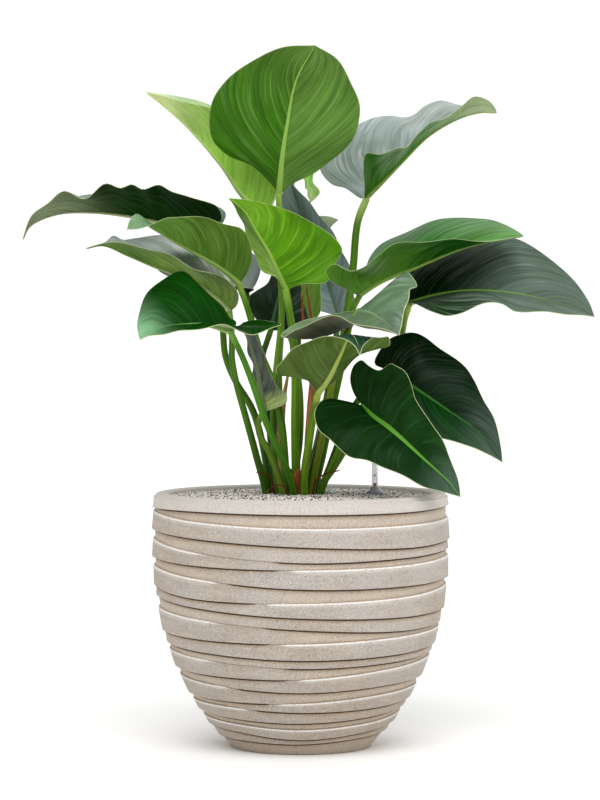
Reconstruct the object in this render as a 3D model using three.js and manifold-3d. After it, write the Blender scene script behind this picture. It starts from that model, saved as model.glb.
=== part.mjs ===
// Potted philodendron: a cast planter filled with soil, a gravel layer, twenty-one leaves on
// their stalks, papery sheaths, short aerial roots and a water gauge.
// Millimetres, +Z up. The origin is the centre of the planter's underside, -Y is the front.
import * as THREE from 'three';
import { mergeVertices } from 'three/addons/utils/BufferGeometryUtils.js';
import Module from 'manifold-3d';

const wasm = await Module();
wasm.setup();

// Planter
const POT_HEIGHT = 371;
const POT_RADIUS = 215;          // widest, at the shoulder
const SHOULDER_HEIGHT = 308;
const FOOT_NARROWING = 0.52;     // share of the radius lost between shoulder and foot
const FOOT_CURVE = 2.45;         // how suddenly the belly turns in
const RIM_NARROWING = 2;
const WALL = 22;
const FLOOR = 26;
const FLOOR_RADIUS = 60;
const FLOOR_ROUND = 14;         // how far the inside turns in above the floor
const INSIDE_HEIGHTS = [38, 90, 150, 220, 300];
const RIM_ROUND = 5;
const FOOT_ROUND = 4;
const STEP = 1.2;                // height of the ledge between two bands
const POT_SEGMENTS = 28;          // a multiple of 4, so that pot and soil share corners

// How far a band's top and bottom stand out from the pot's body.
const RECESSED = [-2.5, -2.2];
const LEVEL = [-1, 1];
const PROUD = [1, 2.5];
// Where bands that stand out further on the right come forward, and where the others go back.
const COMES_FORWARD = [-0.9, -0.4];
const GOES_BACK = [-0.35, 0.25];
// The bands from the rim down: height at the left, left front, front, right front and right,
// then the relief at the left and at the right.
const BANDS = [
  { heights: [21, 19, 20, 20, 17], relief: [PROUD, PROUD] },
  { heights: [4, 14, 19, 18, 18], relief: [RECESSED, RECESSED] },
  { heights: [27, 24, 26, 32, 31], relief: [PROUD, PROUD] },
  { heights: [13, 19, 22, 14, 14], relief: [RECESSED, LEVEL] },
  { heights: [27, 19, 10, 10, 9], relief: [PROUD, RECESSED] },
  { heights: [12, 18, 27, 30, 32], relief: [RECESSED, PROUD] },
  { heights: [29, 29, 20, 15, 10], relief: [PROUD, RECESSED] },
  { heights: [15, 13, 21, 29, 35], relief: [LEVEL, PROUD] },
  { heights: [17, 16, 17, 20, 20], relief: [RECESSED, LEVEL] },
  { heights: [34, 29, 20, 8, 6], relief: [PROUD, RECESSED] },
  { heights: [17, 19, 24, 26, 25], relief: [LEVEL, PROUD] },
  { heights: [9, 10, 12, 11, 11], relief: [RECESSED, LEVEL] },
  { heights: [26, 23, 16, 9, 6], relief: [PROUD, RECESSED] },
  { heights: [11, 14, 20, 25, 30], relief: [RECESSED, PROUD] },
  { heights: [27, 23, 16, 13, 12], relief: [PROUD, RECESSED] },
  { heights: [9, 8, 14, 20, 19], relief: [RECESSED, PROUD] },
  { heights: [14, 18, 17, 14, 12], relief: [PROUD, LEVEL] },
  { heights: [9, 8, 10, 9, 9], relief: [RECESSED, RECESSED] },
  { heights: [13, 13, 16, 15, 14], relief: [PROUD, PROUD] },
  { heights: [17, 14, 7, 9, 14], relief: [LEVEL, LEVEL] },
  { heights: [19, 18, 17, 22, 26], relief: [RECESSED, RECESSED] },
];

// Fill
const GAP = 0.3;                 // clearance between pieces that touch
const SOIL_TOP = 350;
const GRAVEL_TOP = 365;
const GRAVEL_MOUND = 4;
const GRAVEL_RELIEF = 1.8;
const GRAVEL_RINGS = 11;
const STALK_END = 326;           // how far down the stalks go into the soil
const HOLE_GAP = 0.5;            // wider, because the holes have few sides

// Leaves
const BLADE = 0.9;               // blade thickness
const BLADE_ROWS = 12;
const HALF_STEPS = [0.55, 1];    // share of the way from the rib to the margin
const VEIN_LEAD = 1.6;           // how far the side veins run ahead of the margin
const ARCH = 0.05;               // crown of each half, as a share of its width
const WAVE = 2.2;                // height of the margin's small waves
const WAVES = 4;
const RIB_DEPTH = [4.2, 1];      // under the blade, at its base and at its tip
const STALK_RADIUS = [5.6, 4.2]; // at the soil and under the blade
const STALK_SIDES = 6;
const STALK_STEPS = 9;

// Papery sheaths and short roots among the feet of the stalks, as lines from the soil up
const SHEATH_RADIUS = [2.6, 4.6, 5, 4.2, 1.6];
const SHEATH_SIDES = 6;
const SHEATHS = [
  [[5, -20, 340], [5, -20, 370], [9, -20, 420], [12, -20, 470], [15, -19, 520], [17, -18, 560]],
  [[-24, -8, 340], [-24, -8, 370], [-29, -6, 420], [-28, -4, 465], [-25, -4, 505], [-18, -4, 545]],
];
const ROOT_RADIUS = [1.8, 0.9];
const ROOT_SIDES = 5;
const SHORT_STEPS = 8;           // along a sheath or a root
const ROOTS = [
  [[18, -35, 345], [18, -36, 372], [24, -42, 392], [38, -48, 400], [56, -52, 405]],
  [[-38, -20, 345], [-38, -21, 372], [-44, -30, 392], [-54, -38, 400], [-64, -44, 402]],
  [[-18, -50, 345], [-19, -51, 372], [-27, -56, 384], [-39, -60, 382], [-50, -62, 374]],
];

// Gauge
const GAUGE = { x: 108, y: 0 };
const TUBE_RADIUS = 4.6;
const TUBE_BORE = 3.1;
const TUBE_RANGE = [60, 440];
const FLOAT_RANGE = [330, 381];
const GAUGE_FOOT = { radius: 12.5, height: 13, seat: 366 };

// Each leaf: the line of its rib from base to tip, its two margins (left and right as seen on
// the upper face with the tip up), the line of its stalk from the blade down, and the place
// where the stalk enters the gravel.
const LEAVES = {
  crown: {
    rib: [[-32, -2, 802], [-27, -20, 855], [-20, -32, 901], [-6, -40, 968], [21, -35, 1018]],
    left: [[-11, 12, 820], [27, 25, 841], [59, 20, 866], [82, 5, 898], [86, -10, 931], [74, -25, 962],
      [54, -33, 997]],
    right: [[-37, 10, 813], [-71, 25, 847], [-108, 25, 863], [-130, 20, 890], [-131, 5, 935],
      [-104, -10, 973], [-70, -20, 997], [-24, -30, 1016]],
    stalk: [[-29, 0, 738], [-27, 3, 673], [-29, 6, 611], [-35, 9, 554], [-39, 9, 505], [-39, 5, 446]],
    foot: [-34, -4],
  },
  lime: {
    rib: [[-48, 62, 781], [-81, 66, 800], [-116, 70, 849], [-165, 74, 905], [-201, 74, 937],
      [-229, 70, 958]],
    left: [[-42, 50, 794], [-35, 42, 821], [-48, 35, 871], [-86, 35, 916], [-133, 42, 934],
      [-172, 52, 942], [-200, 62, 951]],
    right: [[-40, 85, 795], [-25, 112, 842], [-46, 128, 893], [-91, 130, 927], [-135, 120, 941],
      [-156, 108, 948], [-179, 92, 953], [-204, 79, 956]],
    stalk: [[-38, 52, 739], [-29, 42, 673], [-29, 34, 607], [-32, 28, 548], [-29, 18, 461]],
    foot: [-22, 9],
  },
  front: {
    rib: [[-20, -46, 665], [-34, -56, 694], [-47, -60, 721], [-64, -58, 749], [-80, -50, 777],
      [-104, -38, 798]],
    left: [[-14, -48, 668], [3, -54, 674], [39, -58, 678], [51, -52, 703], [60, -46, 723],
      [47, -44, 742], [11, -44, 766], [-41, -44, 788], [-76, -42, 795]],
    right: [[-31, -25, 680], [-54, 15, 693], [-71, 30, 721], [-83, 8, 757], [-94, -22, 783]],
    stalk: [[-13, -40, 612], [-8, -34, 542], [-8, -26, 465]],
    foot: [-6, -20],
  },
  plume: {
    rib: [[-131, 60, 742], [-163, 62, 756], [-208, 65, 766], [-260, 68, 776], [-311, 70, 781],
      [-360, 70, 778], [-400, 66, 760], [-411, 62, 738]],
    left: [[-120, 35, 759], [-115, 5, 775], [-123, -12, 789], [-162, -18, 799], [-187, -18, 807],
      [-206, -14, 819], [-229, -12, 813], [-245, -8, 819], [-263, -5, 812], [-285, 0, 819],
      [-315, 12, 800], [-346, 22, 810], [-371, 38, 792], [-397, 52, 775]],
    right: [[-124, 88, 753], [-112, 118, 781], [-143, 138, 796], [-204, 150, 812], [-264, 145, 816],
      [-318, 125, 808], [-365, 100, 792], [-396, 78, 774]],
    stalk: [[-122, 50, 707], [-116, 44, 651], [-114, 35, 602], [-110, 27, 567], [-95, 22, 531],
      [-71, 18, 491], [-54, 13, 431]],
    foot: [-46, 9],
  },
  sail: {
    rib: [[-87, -70, 674], [-118, -85, 699], [-168, -102, 728], [-207, -118, 751], [-226, -128, 761],
      [-246, -132, 750]],
    left: [[-77, -78, 688], [-69, -98, 713], [-75, -118, 739], [-86, -128, 753], [-117, -142, 761],
      [-153, -155, 769], [-187, -155, 766], [-210, -142, 757], [-230, -135, 751]],
    right: [[-92, -40, 685], [-114, -18, 707], [-146, -15, 729], [-174, -35, 743], [-199, -75, 752],
      [-217, -108, 763], [-232, -122, 773], [-242, -130, 764]],
    stalk: [[-79, -58, 646], [-72, -42, 622], [-58, -24, 575], [-43, -18, 538], [-34, -18, 503],
      [-27, -20, 469]],
    foot: [-20, -19],
  },
  lance: {
    rib: [[-100, -60, 635], [-120, -66, 655], [-152, -70, 677], [-209, -78, 699], [-247, -84, 715],
      [-282, -90, 729], [-308, -94, 724]],
    left: [[-91, -82, 644], [-89, -100, 662], [-103, -110, 678], [-150, -118, 696], [-183, -120, 712],
      [-212, -120, 723], [-240, -116, 729], [-274, -106, 733]],
    right: [[-95, -30, 651], [-102, 5, 674], [-118, 22, 704], [-155, 28, 730], [-199, 25, 746],
      [-220, 12, 746], [-240, -5, 740], [-257, -28, 737], [-270, -48, 744], [-281, -68, 734]],
    stalk: [[-99, -58, 595], [-99, -55, 567], [-93, -47, 531], [-79, -34, 479], [-65, -20, 426]],
    foot: [-50, -8],
  },
  broad: {
    rib: [[-97, -165, 606], [-133, -172, 616], [-164, -176, 616], [-186, -178, 614], [-211, -178, 606],
      [-226, -172, 595]],
    left: [[-77, -172, 620], [-51, -186, 623], [-27, -202, 617], [-41, -222, 610], [-65, -238, 604],
      [-84, -246, 609], [-104, -250, 615], [-132, -252, 611], [-164, -246, 610], [-187, -226, 602],
      [-210, -196, 601]],
    right: [[-91, -140, 620], [-102, -118, 627], [-112, -106, 641], [-138, -104, 668],
      [-150, -106, 677], [-163, -106, 688], [-176, -108, 691], [-200, -114, 678], [-219, -124, 658],
      [-228, -142, 634], [-230, -160, 614]],
    stalk: [[-83, -150, 572], [-69, -128, 535], [-50, -94, 477], [-34, -70, 440], [-18, -48, 400]],
    foot: [-10, -36],
  },
  silver: {
    rib: [[94, 30, 799], [116, 40, 821], [146, 52, 852], [189, 66, 894], [237, 78, 921],
      [269, 86, 929], [291, 88, 928]],
    left: [[86, 45, 801], [66, 75, 816], [44, 105, 825], [29, 130, 848], [40, 145, 882],
      [68, 152, 905], [107, 152, 922], [134, 150, 927], [157, 147, 926], [171, 143, 931],
      [186, 138, 942], [210, 130, 948], [233, 118, 942], [261, 104, 938]],
    right: [[93, 5, 815], [91, -22, 842], [96, -38, 862], [114, -40, 861], [137, -32, 871],
      [154, -22, 872], [173, -6, 893], [187, 6, 910], [215, 25, 918], [236, 45, 934], [255, 62, 951],
      [277, 74, 946], [288, 82, 935]],
    stalk: [[85, 28, 771], [81, 26, 750], [77, 22, 701], [71, 20, 651], [52, 22, 541], [40, 20, 497],
      [25, 15, 431]],
    foot: [11, 10],
  },
  wing: {
    rib: [[83, -42, 657], [114, -46, 677], [163, -50, 697], [231, -54, 725], [287, -52, 738],
      [322, -46, 743]],
    left: [[89, -12, 668], [94, 18, 687], [99, 36, 708], [117, 46, 730], [146, 52, 748],
      [189, 52, 764], [236, 44, 773], [266, 30, 770], [293, 2, 762], [311, -20, 753]],
    right: [[62, -66, 668], [42, -88, 679], [36, -100, 692], [47, -106, 701], [69, -112, 692],
      [87, -118, 698], [107, -124, 712], [134, -128, 729], [172, -128, 734], [208, -120, 737],
      [247, -100, 734], [286, -74, 737]],
    stalk: [[78, -41, 644], [73, -40, 629], [68, -37, 600], [60, -31, 557], [47, -22, 498],
      [32, -11, 425]],
    foot: [19, -6],
  },
  paddle: {
    rib: [[156, -22, 646], [199, -30, 658], [253, -38, 664], [328, -44, 657], [402, -42, 636],
      [425, -38, 626]],
    left: [[149, 0, 655], [141, 15, 671], [149, 30, 689], [183, 45, 713], [235, 50, 730],
      [278, 46, 739], [303, 42, 742], [325, 36, 737], [351, 26, 723], [384, 6, 693], [405, -10, 670],
      [419, -26, 646]],
    right: [[167, -55, 645], [190, -92, 632], [207, -108, 628], [226, -118, 633], [260, -122, 644],
      [287, -120, 644], [302, -114, 637], [321, -106, 634], [356, -90, 632], [399, -62, 629]],
    stalk: [[152, -6, 625], [148, 20, 600], [134, 36, 555], [105, 42, 504], [73, 38, 445],
      [46, 30, 401]],
    foot: [21, 22],
  },
  visor: {
    rib: [[82, -80, 636], [98, -140, 633], [118, -200, 620], [136, -250, 602]],
    left: [[97, -72, 646], [125, -75, 667], [142, -84, 682], [152, -95, 690], [162, -115, 679],
      [164, -140, 668], [154, -162, 665], [150, -188, 651], [143, -220, 630]],
    right: [[64, -62, 634], [35, -52, 629], [-1, -56, 618], [-28, -78, 604], [-25, -100, 599],
      [-1, -140, 610], [19, -165, 623], [38, -185, 628], [55, -205, 626], [71, -222, 619],
      [96, -238, 615], [120, -248, 609]],
    stalk: [[73, -84, 619], [58, -78, 583], [46, -62, 536], [34, -42, 470]],
    foot: [15, -21],
  },
  dusk: {
    rib: [[56, 140, 627], [41, 160, 674], [22, 172, 726], [4, 170, 779], [-16, 155, 831]],
    left: [[44, 137, 630], [17, 140, 639], [-13, 148, 660], [-31, 155, 699], [-40, 158, 741],
      [-37, 156, 783], [-27, 154, 812]],
    right: [[68, 130, 627], [80, 118, 639], [80, 112, 663], [71, 112, 705], [59, 118, 732],
      [44, 126, 757], [17, 140, 793], [-3, 150, 815]],
    stalk: [[54, 124, 603], [48, 95, 559], [37, 66, 500], [21, 40, 427]],
    foot: [3, 26],
  },
  spear: {
    rib: [[18, 25, 619], [12, 25, 644], [6, 25, 673], [2, 22, 706], [-1, 20, 741]],
    left: [[11, 33, 627], [3, 42, 651], [-1, 44, 676], [-4, 38, 707], [-4, 28, 730]],
    right: [[27, 17, 630], [31, 10, 646], [28, 8, 663], [30, 8, 677], [24, 11, 706], [9, 16, 731]],
    stalk: [[21, 22, 585], [21, 15, 537], [17, 7, 476], [9, 0, 417]],
    foot: [3, -5],
  },
  shade: {
    rib: [[-44, 60, 607], [-38, 80, 636], [-29, 100, 673], [-20, 112, 714], [-11, 118, 752]],
    left: [[-59, 60, 615], [-75, 68, 638], [-77, 75, 654], [-65, 88, 666], [-50, 98, 675],
      [-44, 105, 688], [-35, 113, 720], [-23, 117, 740]],
    right: [[-23, 58, 605], [3, 62, 612], [17, 70, 630], [18, 85, 657], [11, 100, 693], [0, 113, 731]],
    stalk: [[-50, 55, 589], [-56, 50, 568], [-54, 44, 536], [-48, 36, 482]],
    foot: [-37, 24],
  },
  bud: {
    rib: [[-15, 190, 833], [-4, 194, 850], [7, 192, 846], [12, 186, 824], [15, 180, 798]],
    left: [[-9, 202, 848], [5, 204, 862], [19, 198, 854], [19, 190, 831], [29, 186, 814],
      [23, 183, 805]],
    right: [[-12, 182, 837], [-1, 180, 838], [5, 179, 832], [8, 179, 820], [11, 179, 808]],
    stalk: [[-16, 185, 802], [-21, 185, 757], [-25, 186, 709], [-27, 178, 663], [-22, 138, 613],
      [-11, 80, 584], [-5, 50, 545], [-1, 25, 504], [-2, 6, 446]],
    foot: [-13, -4],
  },
  distant: {
    rib: [[-1, 170, 651], [2, 195, 696], [14, 212, 742], [39, 216, 770], [58, 212, 773]],
    left: [[-15, 190, 674], [-19, 212, 724], [-7, 226, 758], [16, 230, 776], [42, 222, 779]],
    right: [[17, 172, 669], [32, 190, 706], [37, 200, 733], [39, 208, 753], [48, 211, 764]],
    stalk: [[-3, 140, 618], [-4, 104, 573], [-5, 60, 500]],
    foot: [-6, 11],
  },
  night: {
    rib: [[-78, 92, 661], [-113, 112, 679], [-150, 120, 691], [-188, 122, 699], [-218, 120, 702]],
    left: [[-69, 72, 667], [-82, 62, 670], [-122, 60, 670], [-164, 68, 673], [-196, 88, 684],
      [-213, 108, 696]],
    right: [[-67, 118, 675], [-60, 145, 702], [-73, 165, 723], [-119, 180, 725], [-167, 174, 720],
      [-199, 148, 710]],
    stalk: [[-72, 88, 618], [-59, 72, 550], [-44, 52, 474]],
    foot: [-22, 26],
  },
  bib: {
    rib: [[88, -90, 501], [105, -100, 484], [130, -112, 466], [175, -130, 425], [209, -136, 394],
      [227, -130, 371]],
    left: [[76, -82, 518], [71, -76, 538], [75, -76, 556], [86, -84, 565], [98, -96, 557],
      [113, -106, 551], [128, -114, 561], [134, -118, 558], [147, -120, 550], [157, -122, 532],
      [164, -122, 510], [186, -126, 475], [202, -130, 452], [212, -134, 426], [224, -133, 394]],
    right: [[70, -93, 499], [49, -102, 510], [29, -111, 507], [19, -117, 490], [25, -123, 468],
      [39, -127, 456], [68, -132, 428], [95, -140, 424], [119, -145, 413], [146, -148, 401],
      [173, -147, 387], [201, -141, 379]],
    stalk: [[78, -76, 489], [67, -62, 465], [54, -48, 433], [42, -36, 405]],
    foot: [28, -22],
  },
  cloak: {
    rib: [[132, -30, 547], [162, -38, 526], [213, -50, 491], [258, -58, 459], [291, -60, 416]],
    left: [[121, -22, 551], [107, -12, 558], [116, -2, 579], [130, 0, 595], [161, -4, 603],
      [179, -8, 598], [200, -14, 583], [237, -25, 555], [252, -33, 534], [265, -41, 506],
      [280, -50, 478], [289, -57, 439]],
    right: [[125, -38, 532], [114, -48, 515], [123, -60, 490], [150, -72, 468], [178, -80, 459],
      [203, -82, 453], [231, -78, 443], [252, -72, 437], [272, -66, 427]],
    stalk: [[111, -20, 527], [86, -14, 508], [66, -8, 470], [47, -2, 420]],
    foot: [29, 6],
  },
  apron: {
    rib: [[24, -110, 516], [40, -130, 540], [55, -160, 572], [69, -205, 602], [77, -232, 594],
      [82, -248, 573]],
    left: [[32, -106, 523], [48, -98, 534], [69, -98, 559], [86, -106, 572], [106, -118, 583],
      [126, -135, 586], [125, -150, 597], [111, -182, 599], [95, -216, 594], [86, -238, 586]],
    right: [[16, -103, 528], [8, -95, 538], [-10, -92, 547], [-32, -104, 543], [-35, -115, 554],
      [-27, -126, 564], [-14, -146, 579], [6, -172, 592], [28, -196, 598], [57, -225, 598],
      [74, -242, 587]],
    stalk: [[20, -102, 497], [16, -86, 473], [11, -68, 441], [6, -48, 405]],
    foot: [5, -34],
  },
  strap: {
    rib: [[-52, -40, 490], [-57, -44, 517], [-64, -50, 557], [-75, -52, 593], [-82, -50, 619]],
    left: [[-41, -44, 493], [-28, -42, 498], [-20, -36, 505], [-21, -32, 516], [-34, -31, 525],
      [-43, -33, 542], [-50, -36, 564], [-59, -39, 586], [-67, -43, 606], [-75, -46, 618]],
    right: [[-56, -34, 503], [-62, -26, 520], [-68, -22, 538], [-72, -20, 561], [-78, -22, 586],
      [-82, -28, 604], [-84, -40, 618]],
    stalk: [[-61, -46, 475], [-60, -47, 459], [-44, -41, 427], [-33, -37, 398]],
    foot: [-26, -33],
  },
};
// Halves that cup or sag more than the rest: [left, right] in place of ARCH
const CUPPED = {
  visor: [0.05, -0.14],
  plume: [0.08, 0.05],
  crown: [0.07, 0.07],
  broad: [0.03, 0.1],
};
const THICK_STALKS = { front: [7, 5], apron: [6.2, 4.8] };
const GREENS = {
  crown: 0x3f7f1d, lime: 0x86b92f, front: 0x5d9e22, plume: 0x2c4f1c, sail: 0x4c8327,
  lance: 0x5b7a3a, broad: 0x17531d, silver: 0x8ea39a, wing: 0x3c8a2c, paddle: 0x1b3a22,
  visor: 0x5f8570, dusk: 0x3f5b50, spear: 0x6b8f3f, shade: 0x1f3524, bud: 0x6fae35,
  distant: 0x9aae72, night: 0x2a3a30, bib: 0x164a1c, cloak: 0x123d1c, apron: 0x64803a,
  strap: 0x5c6b48,
};

const COLORS = {
  stalk: 0x4f8a2c, sheath: 0xa96a33, root: 0x5f3322, tube: 0xe8edf0, float: 0xb4281e,
  gaugeFoot: 0x8b8d92, pot: 0xcdc2b4, soil: 0x3a2c22, gravel: 0xa79f96,
};

const plant = new THREE.Group();

function random(seed) {
  let state = seed;
  return () => {
    state = (state * 1664525 + 1013904223) % 4294967296;
    return state / 4294967296;
  };
}

function addPiece(name, geometry, color, roughness = 0.6, extra = {}) {
  geometry.computeVertexNormals();
  const material = new THREE.MeshStandardMaterial({ color, roughness, metalness: 0, ...extra });
  const mesh = new THREE.Mesh(geometry, material);
  mesh.name = name;
  plant.add(mesh);
}

function curveThrough(points) {
  const vectors = points.map(([x, y, z]) => new THREE.Vector3(x, y, z));
  return new THREE.CatmullRomCurve3(vectors, false, 'centripetal');
}

function toGeometry(positions, triangles) {
  const geometry = new THREE.BufferGeometry();
  geometry.setAttribute('position', new THREE.Float32BufferAttribute(positions, 3));
  geometry.setIndex(triangles);
  return geometry;
}

function toSolid(geometry) {
  const bare = geometry.clone();
  bare.deleteAttribute('normal');
  bare.deleteAttribute('uv');
  const merged = mergeVertices(bare, 1e-4);
  return new wasm.Manifold(new wasm.Mesh({
    numProp: 3,
    vertProperties: new Float32Array(merged.attributes.position.array),
    triVerts: new Uint32Array(merged.index.array),
  }));
}

function fromSolid(solid) {
  const largest = solid.decompose().sort((a, b) => b.volume() - a.volume())[0];
  const mesh = largest.getMesh();
  return toGeometry(mesh.vertProperties, Array.from(mesh.triVerts));
}

// The value at a share of the way along a list, straight between its entries.
function valueAlong(list, share) {
  const place = share * (list.length - 1);
  const k = Math.min(Math.floor(place), list.length - 2);
  return THREE.MathUtils.lerp(list[k], list[k + 1], place - k);
}

// A closed round bar along a curve, with its radii from end to end.
function taperedBar(curve, radii, sides, steps) {
  const frames = curve.computeFrenetFrames(steps, false);
  const positions = [];
  const triangles = [];
  for (let i = 0; i <= steps; i += 1) {
    const centre = curve.getPointAt(i / steps);
    const radius = valueAlong(radii, i / steps);
    for (let k = 0; k < sides; k += 1) {
      const angle = (2 * Math.PI * k) / sides;
      const spoke = frames.normals[i].clone().multiplyScalar(Math.cos(angle))
        .addScaledVector(frames.binormals[i], Math.sin(angle));
      positions.push(...centre.clone().addScaledVector(spoke, radius).toArray());
    }
  }
  for (let i = 0; i < steps; i += 1) {
    for (let k = 0; k < sides; k += 1) {
      const a = i * sides + k;
      const b = i * sides + ((k + 1) % sides);
      triangles.push(a, b, b + sides, a, b + sides, a + sides);
    }
  }
  const last = steps * sides;
  for (let k = 1; k < sides - 1; k += 1) {
    triangles.push(0, k + 1, k, last, last + k, last + k + 1);
  }
  return toGeometry(positions, triangles);
}

// The middle surface of a blade: rows from base to tip, columns from margin to margin, and
// the direction of the upper face at each point.
function bladeSurface(name, { rib, left, right }) {
  const middle = curveThrough(rib);
  const margins = [left, right].map((side) => curveThrough([rib[0], ...side, rib.at(-1)]));
  const arches = CUPPED[name] ?? [ARCH, ARCH];
  const rows = [];
  for (let i = 0; i <= BLADE_ROWS; i += 1) {
    const along = i / BLADE_ROWS;
    const lead = along ** VEIN_LEAD;
    const centre = middle.getPointAt(lead);
    const forward = middle.getTangentAt(lead);
    const depth = THREE.MathUtils.lerp(RIB_DEPTH[0], RIB_DEPTH[1], lead);
    const halves = margins.map((margin, side) => {
      const out = margin.getPointAt(along).sub(centre);
      const width = out.length();
      const up = out.clone().cross(forward).multiplyScalar(side ? 1 : -1);
      if (up.lengthSq() > 1e-9) up.normalize();
      const steps = [Math.min(0.3, depth / Math.max(width, 1e-6)), ...HALF_STEPS];
      return steps.map((share) => {
        const wave = WAVE * share ** 3 * Math.sin(Math.PI * along)
          * Math.sin(2 * Math.PI * WAVES * along + side * 2);
        const lift = 4 * share * (1 - share) * arches[side] * width + wave;
        return centre.clone().addScaledVector(out, share).addScaledVector(up, lift);
      });
    });
    rows.push({ points: [...halves[0].reverse(), centre, ...halves[1]], depth });
  }
  return rows;
}

function upwardNormals(rows) {
  const last = rows.length - 1;
  const columns = rows[0].points.length;
  const normals = rows.map(({ points }) => points.map(() => new THREE.Vector3()));
  for (let i = 0; i < last; i += 1) {
    for (let k = 0; k < columns - 1; k += 1) {
      const [a, b] = [rows[i].points[k], rows[i].points[k + 1]];
      const [d, c] = [rows[i + 1].points[k], rows[i + 1].points[k + 1]];
      const normal = c.clone().sub(a).cross(d.clone().sub(b));
      for (const [row, column] of [[i, k], [i, k + 1], [i + 1, k], [i + 1, k + 1]]) {
        normals[row][column].add(normal);
      }
    }
  }
  for (const end of [0, last]) {
    const sum = new THREE.Vector3();
    normals[end].forEach((normal) => sum.add(normal));
    normals[end].forEach((normal) => normal.copy(sum));
  }
  normals.flat().forEach((normal) => normal.normalize());
  return normals;
}

// A thin closed blade with a keel of a rib under it. Its first and last rows are points.
function bladeGeometry(rows, normals) {
  const last = rows.length - 1;
  const columns = rows[0].points.length;
  const centre = (columns - 1) / 2;
  const positions = [];
  const index = [[], []];
  for (const face of [0, 1]) {
    rows.forEach(({ points, depth }, i) => {
      const isPoint = i === 0 || i === last;
      const row = [];
      points.forEach((point, k) => {
        if (isPoint && k > 0) {
          row.push(row[0]);
          return;
        }
        const keel = k === centre || isPoint ? depth : 0;
        const shift = face ? -BLADE / 2 - keel : BLADE / 2;
        row.push(positions.length / 3);
        positions.push(...point.clone().addScaledVector(normals[i][k], shift).toArray());
      });
      index[face].push(row);
    });
  }
  const triangles = [];
  const addTriangle = (a, b, c) => {
    if (a !== b && b !== c && c !== a) triangles.push(a, b, c);
  };
  const [top, bottom] = index;
  for (let i = 0; i < last; i += 1) {
    for (let k = 0; k < columns - 1; k += 1) {
      addTriangle(top[i][k], top[i][k + 1], top[i + 1][k + 1]);
      addTriangle(top[i][k], top[i + 1][k + 1], top[i + 1][k]);
      addTriangle(bottom[i][k], bottom[i + 1][k + 1], bottom[i][k + 1]);
      addTriangle(bottom[i][k], bottom[i + 1][k], bottom[i + 1][k + 1]);
    }
    const end = columns - 1;
    addTriangle(top[i][0], top[i + 1][0], bottom[i + 1][0]);
    addTriangle(top[i][0], bottom[i + 1][0], bottom[i][0]);
    addTriangle(top[i + 1][end], top[i][end], bottom[i][end]);
    addTriangle(top[i + 1][end], bottom[i][end], bottom[i + 1][end]);
  }
  return toGeometry(positions, triangles);
}

// Stalks run from under the blade's base down into the soil.
function stalkCurve({ rib, stalk, foot }, normals) {
  const top = new THREE.Vector3(...rib[0]);
  top.addScaledVector(normals[0][0], -(BLADE + RIB_DEPTH[0]) / 2);
  const [x, y] = foot;
  return curveThrough([[x, y, STALK_END], [x, y, GRAVEL_TOP], ...[...stalk].reverse(),
    top.toArray()]);
}

function outerRadius(height) {
  if (height > SHOULDER_HEIGHT) {
    const rise = (height - SHOULDER_HEIGHT) / (POT_HEIGHT - SHOULDER_HEIGHT);
    return POT_RADIUS - RIM_NARROWING * rise * rise;
  }
  const drop = (SHOULDER_HEIGHT - height) / SHOULDER_HEIGHT;
  return POT_RADIUS * (1 - FOOT_NARROWING * drop ** FOOT_CURVE);
}

// A smooth value round the pot from five readings on its front, from left to right. At the
// back the value passes evenly from the left one to the right one.
function valueAround(readings, angle) {
  const [left, , , , right] = readings;
  if (Math.sin(angle) > 0) return (left + right) / 2 + ((right - left) / 2) * Math.cos(angle);
  const place = 4 - (4 * Math.acos(Math.cos(angle))) / Math.PI;
  const k = Math.min(Math.floor(place), 3);
  const t = place - k;
  const [a, b, c, d] = [k - 1, k, k + 1, k + 2].map((n) => readings[4 - Math.abs(4 - Math.abs(n))]);
  return b + (t / 2) * (c - a + t * (2 * a - 5 * b + 4 * c - d + t * (3 * (b - c) + d - a)));
}

// Each band's top and bottom at one angle, as [height, distance out from the pot's body].
function bandFaces(angle) {
  const heights = BANDS.map((band) => valueAround(band.heights, angle));
  const scale = POT_HEIGHT / heights.reduce((sum, height) => sum + height, 0);
  let level = POT_HEIGHT;
  return BANDS.map(({ relief: [left, right] }, i) => {
    const turnover = right[0] > left[0] ? COMES_FORWARD : GOES_BACK;
    const turned = THREE.MathUtils.smoothstep(Math.cos(angle), ...turnover);
    const [top, bottom] = left.map((out, end) => THREE.MathUtils.lerp(out, right[end], turned));
    const start = i ? level : POT_HEIGHT - RIM_ROUND;
    level -= heights[i] * scale;
    return [[start, top], [level, bottom]];
  });
}

// The inside of the pot from above its floor to a height, drawn in by a clearance.
function insideProfile(top, clearance) {
  return [...INSIDE_HEIGHTS, top].map((height, i) => {
    const turn = i === 0 ? FLOOR_ROUND : 0;
    return [outerRadius(height) - WALL - turn - clearance, height];
  });
}

// Every ring of the pot's surface, from the middle of its inner floor over the rim and down the
// banded outside to the underside, as [radius, height] at one angle.
function potSection(angle) {
  const inner = [[FLOOR_RADIUS, FLOOR], ...insideProfile(POT_HEIGHT - RIM_ROUND, 0)];
  const rim = outerRadius(POT_HEIGHT);
  inner.push([rim - WALL + RIM_ROUND, POT_HEIGHT], [rim - RIM_ROUND, POT_HEIGHT]);
  const outer = bandFaces(angle).flatMap(([[top, topOut], [bottom, bottomOut]], i, all) => {
    const foot = i === all.length - 1 ? FOOT_ROUND : bottom + STEP / 2;
    return [
      [outerRadius(top) + topOut, top - STEP / 2],
      [outerRadius(foot) + bottomOut, foot],
    ];
  });
  return [...inner, ...outer, [outerRadius(0) - FOOT_ROUND, 0]];
}

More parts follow.
